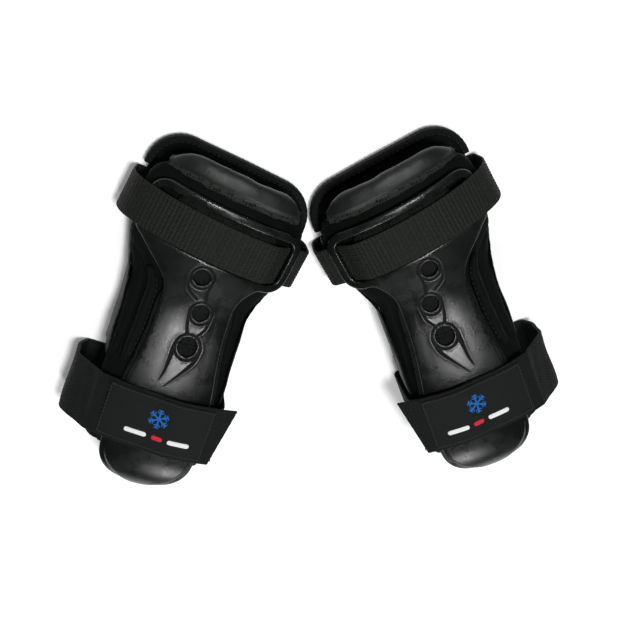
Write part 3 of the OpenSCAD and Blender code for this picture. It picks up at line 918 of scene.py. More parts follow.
class Nodes:
    """Places shader nodes in a tree, one after another."""

    def __init__(self, tree: bpy.types.NodeTree) -> None:
        """Keeps the tree that the nodes go in."""
        self.tree = tree

    def add(self, kind: str, values: dict | None = None, **props) -> bpy.types.Node:
        """One node.

        Args:
            kind: its type name.
            values: what its inputs hold or are linked to, by name or number.
            props: its own settings.

        Returns:
            The node.
        """
        node = self.tree.nodes.new(kind)
        node.location = (180 * (len(self.tree.nodes) % 9), -220 * (len(self.tree.nodes) // 9))
        for key, value in props.items():
            setattr(node, key, value)
        for key, value in (values or {}).items():
            if isinstance(value, bpy.types.NodeSocket):
                self.tree.links.new(value, node.inputs[key])
            else:
                node.inputs[key].default_value = value
        return node

    def send(self, end: bpy.types.Node, **values: Socket) -> None:
        """Links values to a group's outputs by name."""
        for name, value in values.items():
            self.tree.links.new(value, end.inputs[name])

    def noise(self, place: Socket, scale: float, detail: float) -> Socket:
        """Soft unevenness from 0 to 1 over a place."""
        values = {"Vector": place, "Scale": scale, "Detail": detail}
        return self.add("ShaderNodeTexNoise", values).outputs[0]

    def math(self, operation: str, a: Socket | float, b: Socket | float = 0.0, clamp: bool = False) -> Socket:
        """The result of one sum."""
        return self.add("ShaderNodeMath", {0: a, 1: b}, operation=operation, use_clamp=clamp).outputs[0]

    def spread(self, value: Socket, low: float, high: float, to_low: float = 0, to_high: float = 1) -> Socket:
        """value brought from one range into another, smoothly.

        Args:
            value: what is spread.
            low: start of its range.
            high: end of its range.
            to_low: start of the new range.
            to_high: end of the new range.

        Returns:
            The new value.
        """
        node = self.add("ShaderNodeMapRange", {0: value, 1: low, 2: high, 3: to_low, 4: to_high},
            interpolation_type="SMOOTHSTEP")
        return node.outputs[0]

    def tint(self, share: Socket, a: Socket | tuple, b: Socket | tuple) -> Socket:
        """A colour between two."""
        node = self.add("ShaderNodeMix", {0: share, 6: a, 7: b}, data_type="RGBA")
        return node.outputs[2]


def open_group(name: str, inputs: dict[str, tuple[str, object]], outputs: Sequence[str]
) -> tuple[bpy.types.NodeTree, Nodes, bpy.types.Node, bpy.types.Node]:
    """A new shader node group with named sockets.

    Args:
        name: the group's name.
        inputs: socket name to its kind and first value.
        outputs: names of its value outputs.

    Returns:
        The group, a Nodes for it, its input node and its output node.
    """
    group = bpy.data.node_groups.new(name, "ShaderNodeTree")
    for label, (kind, value) in inputs.items():
        socket = group.interface.new_socket(label, in_out="INPUT", socket_type=kind)
        if value is not None:
            socket.default_value = value
    for label in outputs:
        group.interface.new_socket(label, in_out="OUTPUT", socket_type="NodeSocketFloat")
    nodes = Nodes(group)
    return group, nodes, nodes.add("NodeGroupInput"), nodes.add("NodeGroupOutput")


class Effects:
    """The shared surface effects, each one a node group made once."""

    VECTOR = ("NodeSocketVector", None)

    def __init__(self) -> None:
        """Makes every group."""
        self.by_pattern = {Pattern.GRAIN: self._grain(), Pattern.WEAVE: self._weave(),
            Pattern.KNIT: self._knit(), Pattern.BRUSHED: self._brushed()}
        self.wear = self._wear()
        self.lint = self._lint()

    def _sockets(self) -> dict[str, tuple[str, object]]:
        """Inputs that every pattern has."""
        return {"Place": self.VECTOR, "Pitch U": ("NodeSocketFloat", 1.0),
            "Pitch V": ("NodeSocketFloat", 1.0)}

    @staticmethod
    def _scaled(nodes: Nodes, start: bpy.types.Node) -> Socket:
        """The place divided by the pitch in both directions."""
        parts = nodes.add("ShaderNodeSeparateXYZ", {0: start.outputs["Place"]})
        u = nodes.math("DIVIDE", parts.outputs[0], start.outputs["Pitch U"])
        v = nodes.math("DIVIDE", parts.outputs[1], start.outputs["Pitch V"])
        w = nodes.math("DIVIDE", parts.outputs[2], start.outputs["Pitch V"])
        return nodes.add("ShaderNodeCombineXYZ", {0: u, 1: v, 2: w}).outputs[0]

    def _grain(self) -> bpy.types.NodeTree:
        """Fine pebbled grain of a moulding."""
        group, n, start, end = open_group("moulded_grain", self._sockets(), ("Height", "Shade"))
        place = self._scaled(n, start)
        cells = n.add("ShaderNodeTexVoronoi", {"Vector": place, "Scale": 1.0}, feature="SMOOTH_F1")
        broad = n.noise(place, 0.035, 4.0)
        fine = n.noise(place, 1.9, 2.0)
        height = n.math("ADD", n.math("MULTIPLY", cells.outputs["Distance"], -0.7),
                        n.math("MULTIPLY", fine, 0.6))
        shade = n.math("ADD", n.math("MULTIPLY", n.spread(broad, 0.35, 0.65), 0.6),
                       n.math("MULTIPLY", fine, 0.4))
        n.send(end, Height=height, Shade=shade)
        return group

    def _weave(self) -> bpy.types.NodeTree:
        """Warp and weft threads that pass over each other in turn."""
        group, n, start, end = open_group("woven_threads", self._sockets(), ("Height", "Shade"))
        place = self._scaled(n, start)
        wander = n.noise(place, 0.4, 2.0)
        parts = n.add("ShaderNodeSeparateXYZ", {0: place})
        drift = n.math("MULTIPLY", n.math("SUBTRACT", wander, 0.5), 0.35)
        u = n.math("MULTIPLY", n.math("ADD", parts.outputs[0], drift), math.pi)
        v = n.math("MULTIPLY", n.math("ADD", parts.outputs[1], drift), math.pi)
        cross = n.math("MULTIPLY", n.math("SINE", u), n.math("SINE", v))
        warp = n.math("ABSOLUTE", n.math("SINE", u))
        weft = n.math("ABSOLUTE", n.math("SINE", v))
        over = n.math("MULTIPLY", n.spread(cross, -0.15, 0.15), warp)
        under = n.math("MULTIPLY", n.spread(cross, 0.15, -0.15), weft)
        height = n.math("ADD", over, under)
        fluff = n.noise(place, 2.6, 3.0)
        height = n.math("ADD", height, n.math("MULTIPLY", fluff, 0.35))
        # Painted shade: the colour follows the thread height, darker where the threads dip under each other.
        n.send(end, Height=height, Shade=n.math("MULTIPLY", height, 0.85))
        return group

    def _knit(self) -> bpy.types.NodeTree:
        """Small open cells, as in a mesh fabric."""
        group, n, start, end = open_group("open_knit", self._sockets(), ("Height", "Shade"))
        place = self._scaled(n, start)
        cells = n.add("ShaderNodeTexVoronoi", {"Vector": place, "Scale": 1.0, "Randomness": 0.35})
        threads = n.noise(place, 5.0, 2.0)
        rim = n.spread(cells.outputs["Distance"], 0.12, 0.52)
        height = n.math("ADD", rim, n.math("MULTIPLY", threads, 0.3))
        # Painted shade: the colour follows the height, darker in the open cells.
        n.send(end, Height=height, Shade=n.math("MULTIPLY", height, 0.8))
        return group

    def _brushed(self) -> bpy.types.NodeTree:
        """Short raised fibres lying mostly one way, over a soft unevenness."""
        group, n, start, end = open_group("brushed_fibres", self._sockets(), ("Height", "Shade"))
        place = self._scaled(n, start)
        lay = n.add("ShaderNodeMapping", {"Vector": place, "Scale": (1.0, 0.35, 1.0)})
        fibres = n.noise(lay.outputs[0], 2.4, 4.0)
        tufts = n.noise(place, 0.5, 3.0)
        broad = n.noise(place, 0.045, 3.0)
        height = n.math("ADD", n.math("MULTIPLY", fibres, 0.6), n.math("MULTIPLY", tufts, 0.8))
        shade = n.math("ADD", n.math("MULTIPLY", n.spread(broad, 0.3, 0.7), 0.5),
                       n.math("MULTIPLY", fibres, 0.5))
        n.send(end, Height=height, Shade=shade)
        return group

    def _wear(self) -> bpy.types.NodeTree:
        """Rubbed edges, broken up."""
        inputs = {"Place": self.VECTOR, "Edge": ("NodeSocketFloat", 0.0), "Amount": ("NodeSocketFloat", 0.3)}
        group, n, start, end = open_group("edge_wear", inputs, ("Mask",))
        patch = n.noise(start.outputs["Place"], 0.35, 5.0)
        broken = n.spread(patch, 0.38, 0.62)
        rubbed = n.math("MULTIPLY", broken, start.outputs["Edge"])
        rubbed = n.math("MULTIPLY", rubbed, start.outputs["Amount"], True)
        n.send(end, Mask=rubbed)
        return group

    def _lint(self) -> bpy.types.NodeTree:
        """Sparse pale specks of lint and dust."""
        inputs = {"Place": self.VECTOR, "Amount": ("NodeSocketFloat", 0.3)}
        group, n, start, end = open_group("lint_specks", inputs, ("Mask",))
        speck = n.add("ShaderNodeTexVoronoi", {"Vector": start.outputs["Place"], "Scale": 0.33})
        small = n.spread(speck.outputs["Distance"], 0.09, 0.03)
        sparse = n.noise(start.outputs["Place"], 0.09, 2.0)
        chosen = n.math("MULTIPLY", small, n.spread(sparse, 0.52, 0.62))
        n.send(end, Mask=n.math("MULTIPLY", chosen, start.outputs["Amount"], True))
        return group


class Dresser:
    """Makes the material of each finish, once."""

    def __init__(self) -> None:
        """Makes the shared effects."""
        self.effects = Effects()
        self.made: dict[tuple[str, bool], bpy.types.Material] = {}

    def material(self, finish: Finish, on_solid: bool = False) -> bpy.types.Material:
        """The material of a finish.

        Args:
            finish: what it looks like.
            on_solid: true for a carried-over solid, whose places come from its own frame.

        Returns:
            The material, made the first time it is asked for.
        """
        key = (finish.name, on_solid)
        if key not in self.made:
            self.made[key] = self._make(finish, on_solid)
        return self.made[key]

    def _group(self, n: Nodes, tree: bpy.types.NodeTree, values: dict) -> bpy.types.Node:
        """A shared effect placed in a material.

        Args:
            n: nodes of the material.
            tree: the effect.
            values: what its inputs hold or are linked to.

        Returns:
            The placed node.
        """
        node = n.tree.nodes.new("ShaderNodeGroup")
        node.node_tree = tree
        for key, value in values.items():
            if isinstance(value, bpy.types.NodeSocket):
                n.tree.links.new(value, node.inputs[key])
            else:
                node.inputs[key].default_value = value
        return node

    def _make(self, finish: Finish, on_solid: bool) -> bpy.types.Material:
        """Builds the node tree of one material.

        Args:
            finish: what it looks like.
            on_solid: true for a carried-over solid.

        Returns:
            The material.
        """
        material = bpy.data.materials.new(finish.name + ("_solid" if on_solid else ""))
        material.use_nodes = True
        material.diffuse_color = (*finish.light, 1.0)
        tree = material.node_tree
        tree.nodes.clear()
        n = Nodes(tree)
        if on_solid:
            own = n.add("ShaderNodeTexCoord").outputs["Object"]
            place = n.add("ShaderNodeVectorMath", {0: own, "Scale": 1 / MM}, operation="SCALE").outputs[0]
            edge = 0.0
        else:
            place = n.add("ShaderNodeAttribute", attribute_name="cloth_place").outputs["Vector"]
            edge = n.add("ShaderNodeAttribute", attribute_name="edge_wear_and_shade").outputs["Fac"]
        surface = self._group(n, self.effects.by_pattern[finish.pattern], {
            "Place": place, "Pitch U": finish.pitch[0], "Pitch V": finish.pitch[1]})
        worn = self._group(n, self.effects.wear, {"Place": place, "Edge": edge, "Amount": finish.wear})
        colour = n.tint(n.math("MULTIPLY", surface.outputs["Shade"], 1.0, True),
                        (*finish.dark, 1.0), (*finish.light, 1.0))
        pale = tuple(min(1.0, 2.2 * c + 0.004) for c in finish.light)
        colour = n.tint(worn.outputs["Mask"], colour, (*pale, 1.0))
        # Painted shade: where the edge values fall below zero, in the plate's grooves, the colour is pulled
        # to near black.
        if not on_solid:
            deep = n.math("MULTIPLY", edge, -1.0, True)
            colour = n.tint(deep, colour, (0.0004, 0.0004, 0.0004, 1.0))
        if finish.lint:
            lint = self._group(n, self.effects.lint, {"Place": place, "Amount": finish.lint})
            colour = n.tint(lint.outputs["Mask"], colour, (0.06, 0.06, 0.058, 1.0))
        rough = n.spread(surface.outputs["Shade"], 0.0, 1.0, *finish.rough)
        # The same painted-shade mask raises the roughness there.
        if not on_solid:
            rough = n.math("MAXIMUM", rough, n.math("MULTIPLY", deep, 0.9))
        bump = n.add("ShaderNodeBump", {"Strength": 1.0, "Distance": finish.relief * MM,
                                        "Height": surface.outputs["Height"]})
        shader = n.add("ShaderNodeBsdfPrincipled", {
            "Base Color": colour, "Roughness": rough, "Normal": bump.outputs[0],
            "Metallic": finish.metallic, "Specular IOR Level": finish.specular})
        if finish.sheen:
            shader.inputs["Sheen Weight"].default_value = finish.sheen
            shader.inputs["Sheen Roughness"].default_value = 0.5
            shader.inputs["Sheen Tint"].default_value = (0.75, 0.82, 0.8, 1.0)
        out = n.add("ShaderNodeOutputMaterial")
        tree.links.new(shader.outputs[0], out.inputs[0])
        return material


# Laying a piece out on both sides
class Side(Enum):
    """Which guard of the pair."""

    LEFT = "left"
    RIGHT = "right"


class Part(Enum):
    """Which moving part of a guard a piece belongs to."""

    GUARD = "guard"
    HAND_STRAP = "hand_strap"
    FOREARM_STRAP = "forearm_strap"


@dataclass(frozen=True)
class Bend:
    """A strap's bend between the guard and one of its moving ends, in the guard's own frame."""

    part: Part
    start: tuple[float, float, float]
    end: tuple[float, float, float]


@dataclass
class Piece:
    """A finished piece in the guard's own frame."""

    name: str
    shape: Shape
    finishes: tuple[Finish, ...]
    slot: str
    part: Part = Part.GUARD
    stands_for: tuple[str, ...] = ()
    fill: float | None = None
    bend: Bend | None = None


class Pair:
    """Places both guards in the pair's frame and lays every piece out on them."""

    def __init__(self, frame: dict, sizes: Sizes, dresser: Dresser) -> None:
        """Finds the lean and the place of each guard from the hand strap's hinge.

        Args:
            frame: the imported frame.
            sizes: the guard's sizes.
            dresser: makes the materials.
        """
        self.frame = frame
        self.dresser = dresser
        hinge = next(j for j in frame["joints"] if j["name"] == "right_hand_strap_peel")
        axis, at = hinge["axis"], hinge["pos_m"]
        self.lean = math.atan2(-axis[0], axis[1])
        lift = sizes.seat + sizes.band_t / 2
        fold_x, fold_z = HandStraps.fold(sizes, lift)
        self.cos, self.sin = math.cos(self.lean), math.sin(self.lean)
        self.tip = (at[0] / MM - (fold_x * self.cos - sizes.band_y * self.sin),
            at[1] / MM - (fold_x * self.sin + sizes.band_y * self.cos))
        self.lift = at[2] / MM - fold_z
        LOG.info("lean %.1f degrees, tip at %.1f, %.1f mm", math.degrees(self.lean), *self.tip)

    def to_pair(self, points: Array, side: Side) -> Array:
        """Places of one guard in the pair's frame, in metres.

        Args:
            points: places in the right-hand guard's own frame.
            side: which guard.

        Returns:
            Places in the pair's frame.
        """
        p = np.asarray(points, float).reshape(-1, 3)
        x = self.tip[0] + p[:, 0] * self.cos - p[:, 1] * self.sin
        y = self.tip[1] + p[:, 0] * self.sin + p[:, 1] * self.cos
        sign = 1 if side is Side.RIGHT else -1
        return columns(sign * x, y, p[:, 2] + self.lift) * MM

    def from_pair(self, points: Array) -> Array:
        """Places in the right-hand guard's own frame, in millimetres, of places in the pair's."""
        p = np.asarray(points, float) / MM
        x, y = p[:, 0] - self.tip[0], p[:, 1] - self.tip[1]
        turned = (x * self.cos + y * self.sin, y * self.cos - x * self.sin)
        return columns(*turned, p[:, 2] - self.lift)

    def lay_out(self, piece: Piece) -> None:
        """Makes a piece's two objects, one on each guard, and hides the solids they stand for.

        Args:
            piece: the finished piece.
        """
        for side in Side:
            name = f"{side.value}_{piece.name}"
            faces = piece.shape.faces
            if side is Side.LEFT:
                faces = [f[::-1] for f in faces]
            mesh = bpy.data.meshes.new(name)
            mesh.from_pydata(self.to_pair(piece.shape.points, side).tolist(), [], faces)
            mesh.polygons.foreach_set("use_smooth", [True] * len(faces))
            place = mesh.attributes.new("cloth_place", "FLOAT_VECTOR", "POINT")
            place.data.foreach_set("vector", piece.shape.chart().astype(np.float32).ravel())
            edge = mesh.attributes.new("edge_wear_and_shade", "FLOAT", "POINT")
            edge.data.foreach_set("value", piece.shape.edges().astype(np.float32))
            for finish in piece.finishes:
                mesh.materials.append(self.dresser.material(finish))
            if piece.shape.finish_of is not None:
                mesh.polygons.foreach_set("material_index", piece.shape.finish_of)
            mesh.validate()
            thing = bpy.data.objects.new(name, mesh)
            bpy.context.scene.collection.objects.link(thing)
            if piece.stands_for:
                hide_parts(*[f"{side.value}_{node}" for node in piece.stands_for])
            if piece.bend is None:
                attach(thing, f"{side.value}_{piece.part.value}")
            else:
                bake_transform(thing)
        LOG.info("%s: %d points, %d faces", piece.name, len(piece.shape.points), len(piece.shape.faces))

    def dress_solids(self, finish: Finish, *nodes: str) -> None:
        """Gives carried-over solids of both guards a finish.

        Args:
            finish: their finish.
            nodes: the solids, without their side.
        """
        for side in Side:
            for node in nodes:
                thing = self.frame["nodes"][f"{side.value}_{node}"]
                thing.data.materials.clear()
                thing.data.materials.append(self.dresser.material(finish, True))


# Palm plate, its liner and its bead
@dataclass
class PalmPlate:
    """The moulded plate with its domed nose, vents and strap frame, and the liner under it."""

    sizes: Sizes
    groove_half: float = 0.62
    groove_deep: float = 0.75
    ring_out: float = 1.9
    rim: float = 1.1
    nose_rim: float = 3.6
    nose_step: float = 1.3
    fine_step: float = 0.5

    def __post_init__(self) -> None:
        """Keeps the guard's form and the grooves' lines."""
        self.form = Form(self.sizes)
        self.tails = [self._tail(i, s) for i in range(3) for s in (-1, 1)]

    def unroll(self, y: Array) -> Array:
        """y stretched over the steep end of the nose, where the surface turns down."""
        n = self.sizes.nose_len
        y = np.asarray(y, float)
        return np.where(y < n, n * np.sqrt(np.maximum(y, 0) / n), y)

    def roll(self, s: Array) -> Array:
        """The y of a stretched place."""
        n = self.sizes.nose_len
        s = np.asarray(s, float)
        return np.where(s < n, np.maximum(s, 0) ** 2 / n, s)

    def surface(self, depth: float) -> Callable[[Array, Array], Array]:
        """The plate's skin at a depth, over its stretched plan.

        Args:
            depth: how far below the outside.

        Returns:
            Lifts places on the plan onto the skin.
        """

        def lifted(x: Array, s: Array) -> Array:
            """Places on the skin."""
            y = self.roll(s)
            height = self.form.crown(y) - self.form.nose_fall(y) - depth
            return columns(x, y, self.form.skin_z(x, height))

        return lifted

    def plan(self) -> Array:
        """Outline of the plate and its strap frame, drawn in one flowing line."""
        z = self.sizes
        s = np.arange(0.0, z.nose_len, 0.8)
        ys = np.concatenate([self.roll(s), np.arange(z.nose_len, z.flare_to, 1.5)])
        half = self.form.plate_half(ys)
        side = columns(half, self.unroll(ys))
        body = np.vstack([side, side[::-1] * (-1, 1)])[1:]
        bars = slab(z.frame_w, z.frame_l, 11)
        bx, by = self.form.across(bars[:, 0], bars[:, 1])
        loop = united([even_steps(body, 1.0, True), even_steps(columns(bx, by), 1.0, True)])
        return even_steps(soften_loop(even_steps(loop, 1.0, True), 6), 1.0, True)

    def window(self) -> Array:
        """Outline of the window that the forearm strap runs through."""
        z = self.sizes
        w = slab(z.frame_w - 2 * z.bar_w, z.window_l, 6)
        x, y = self.form.across(w[:, 0], w[:, 1])
        return even_steps(columns(x, y), 1.0, True)

    def _tail(self, i: int, s: int) -> Array:
        """Groove on one side of vent i, that closes in on the next one or sweeps out to a point.

        Args:
            i: number of the vent.
            s: its side.

        Returns:
            Places along the groove.
        """
        z = self.sizes
        x, y, d = z.vents[i]
        r = d / 2 + self.ring_out
        if i == 0:
            points = [(x + s * r, y), (x + s * r * 0.95 + 1, y - 8), (x + s * r * 0.6 + 4.5, y - 17),
                      (x + s * 1.8 + 9, y - 25 + s * 1.5)]
        else:
            below = z.vents[i - 1][0]
            points = [(x + s * r, y), (x + s * r * 0.85, y - z.vent_pitch * 0.4),
                      (mix(x, below, 0.6) + s * r * 0.45, y - z.vent_pitch * 0.64)]
        return curve_through(points, 6)

    def _groove_gap(self, points: Array) -> tuple[Array, Array]:
        """Distance to the nearest groove's middle, and the groove's width there as a share.

        Args:
            points: places on the plan.

        Returns:
            Distances, and shares of the full width.
        """
        gap = np.full(len(points), 1e9)
        wide = np.ones(len(points))
        for x, y, d in self.sizes.vents:
            ring = np.abs(np.hypot(points[:, 0] - x, points[:, 1] - y) - d / 2 - self.ring_out)
            gap = np.minimum(gap, ring)
        for i, tail in enumerate(self.tails):
            far, along = distance(points, tail, False)
            share = mix(1.6, 0.3, along**1.2) if i < 2 else np.full(len(points), 0.9)
            nearer = far / share < gap / wide
            gap = np.where(nearer, far, gap)
            wide = np.where(nearer, share, wide)
        return gap, wide

    def relief(self, flat: Array, gap: Array) -> Array:
        """Depth of the moulded lines: grooves with raised lips, the nose's rim and a mould line.

        Args:
            flat: places on the plan.
            gap: their distance from the nearest edge.

        Returns:
            Depths.
        """
        z = self.sizes
        near, wide = self._groove_gap(flat)
        u = near / wide
        lines = np.exp(-((u / self.groove_half) ** 4)) * self.groove_deep * np.minimum(wide, 1)
        lips = -0.14 * np.exp(-(((u - self.groove_half - 0.65) / 0.4) ** 2))
        on_nose = 1 - ease(z.nose_len - 6, z.nose_len + 8, flat[:, 1])
        step = self.nose_step * (1 - ease(self.nose_rim - 0.5, self.nose_rim + 0.5, gap)) * on_nose
        y = self.roll(flat[:, 1])
        seam_x = -self.form.plate_half(y) * 0.62
        seam = 0.16 * np.exp(-(((flat[:, 0] - seam_x) / 0.5) ** 2))
        seam = seam * ease(72, 84, y) * (1 - ease(134, 142, y))
        return lines + lips + step + seam

    def groove_shade(self, flat: Array) -> Array:
        """How dark the shadow in the grooves is at each point."""
        near, wide = self._groove_gap(flat)
        return 1.6 * np.exp(-((near / wide / (self.groove_half + 0.1)) ** 4))

    def _fine(self) -> Array:
        """Closely spaced points along the moulded lines."""
        z = self.sizes
        y0, y1 = z.vents[0][1] - 28, z.vents[2][1] + 10
        xs = np.arange(-14, 16, self.fine_step)
        ys = np.arange(y0, y1, self.fine_step)
        gx, gy = np.meshgrid(xs, ys)
        grid = columns(gx.ravel(), gy.ravel())
        near, wide = self._groove_gap(grid)
        grid = grid[(near / wide < 2.0) | (near < 1.6)]
        nose = []
        for x in np.arange(-30, 30, 0.9):
            for s in np.arange(0.6, 30, 0.9):
                nose.append((x + 0.45 * (int(s / 0.9) % 2), s))
        return np.vstack([grid, np.array(nose)])

    def plate(self) -> Piece:
        """The moulding."""
        z = self.sizes
        holes = [self.window()]
        for x, y, d in z.vents:
            holes.append(round_arc(x, y, d / 2, 0, 360, 44)[:-1])
        sheet = Sheet(self.plan(), self.surface(0.0), z.plate_t, self.rim, holes, 2.0,
                      self._fine(), self.relief, self.groove_shade)
        return Piece("plate", sheet.build(), (PLATE,), "plate_plastic", stands_for=("palm_plate",))

    def liner(self) -> Piece:
        """The mesh-faced pad under the plate, which fills the window up to the webbing."""
        z = self.sizes
        ys = np.arange(z.nose_len, z.flare_from + 15, 1.5)
        grow = 2.5 * (1 - ease(z.flare_from - 8, z.flare_from + 8, ys))
        half = self.form.plate_half(ys) + grow
        side = columns(half, ys)
        body = np.vstack([side, side[::-1] * (-1, 1)])
        pad = slab(z.frame_w * 0.66, z.frame_l + 6, 6)
        px, py = self.form.across(pad[:, 0], pad[:, 1] - 7)
        loop = united([even_steps(body, 1.0, True), even_steps(columns(px, py), 1.0, True)])
        loop = even_steps(soften_loop(even_steps(loop, 1.0, True), 6), 1.2, True)

        def raised(flat: Array, gap: Array) -> Array:
            """The part in the window stands up between the bars."""
            u, v = self.form.in_frame(flat[:, 0], flat[:, 1])
            room_u = z.frame_w * 0.33 - 1.5 - np.abs(u)
            room_v = z.window_l / 2 - 1.5 - np.abs(v)
            return -(z.plate_t - 0.8) * ease(0, 6.0, np.minimum(room_u, room_v + 3.0))

        sheet = Sheet(loop, self.surface(z.plate_t + 0.02), z.liner_t - 0.04, 1.2, [], 2.0, None, raised)
        return Piece("mesh_liner", sheet.build(), (LINER,), "liner_foam", stands_for=("plate_liner",))

    def bead_line(self, lift: float) -> tuple[Array, Array]:
        """Middle of the padded bead beside the plate, lifted, with its share of the full radius.

        Args:
            lift: height above the bead's seat.

        Returns:
            Places, and shares of the radius.
        """
        z = self.sizes
        t = np.linspace(0, 1, 90)
        y = mix(78.0, z.flare_from + 14, t)
        x = self.form.plate_half(y) + 2.5 + z.bead_d / 2 + z.seat
        r = self.form.crown(y) + z.axis_deep - z.wall_depth + z.bead_d / 2 + z.seat + lift
        height = np.sqrt(r * r - x * x) - z.axis_deep
        thin = 0.35 + 0.65 * np.sqrt(np.maximum(np.sin(math.pi * t), 0))
        return columns(x, y, height), thin

    def bead(self) -> Piece:
        """The padded bead that runs beside the plate on the thumb side, puckered along its seam."""
        line, thin = self.bead_line(0.0)
        shape = tube(line, thin * self.sizes.bead_d / 2, 26)
        s = shape.cloth[:, 0]
        around = shape.cloth[:, 1] / (self.sizes.bead_d / 2)
        middle = np.repeat(line, 26, 0)
        out = shape.points - middle
        pucker = 0.05 * np.sin(2 * math.pi * s / 5.2) * np.cos(around - 2.5) ** 2
        slack = 0.05 * wiggle(columns(s, around * 6, s * 0.3), 16, 0.7)
        shape.points = middle + out * (1 + pucker + slack)[:, None]
        return Piece("padded_bead", shape, (COVER,), "cover_fabric", stands_for=("side_bead",), fill=0.8)

    def bead_seam(self) -> Piece:
        """The row of stitches that holds the bead down along the liner."""
        line, thin = self.bead_line(0.0)
        keep = slice(6, 84)
        r = (thin * self.sizes.bead_d / 2)[keep]
        turn = math.radians(140)
        places = line[keep] + columns(r * math.cos(turn), 0 * r, r * math.sin(turn))
        out = np.tile((math.cos(turn), 0.0, math.sin(turn)), (len(r), 1))
        return Piece("padded_bead_seam", stitches(places, out), (THREAD,), "cover_fabric")


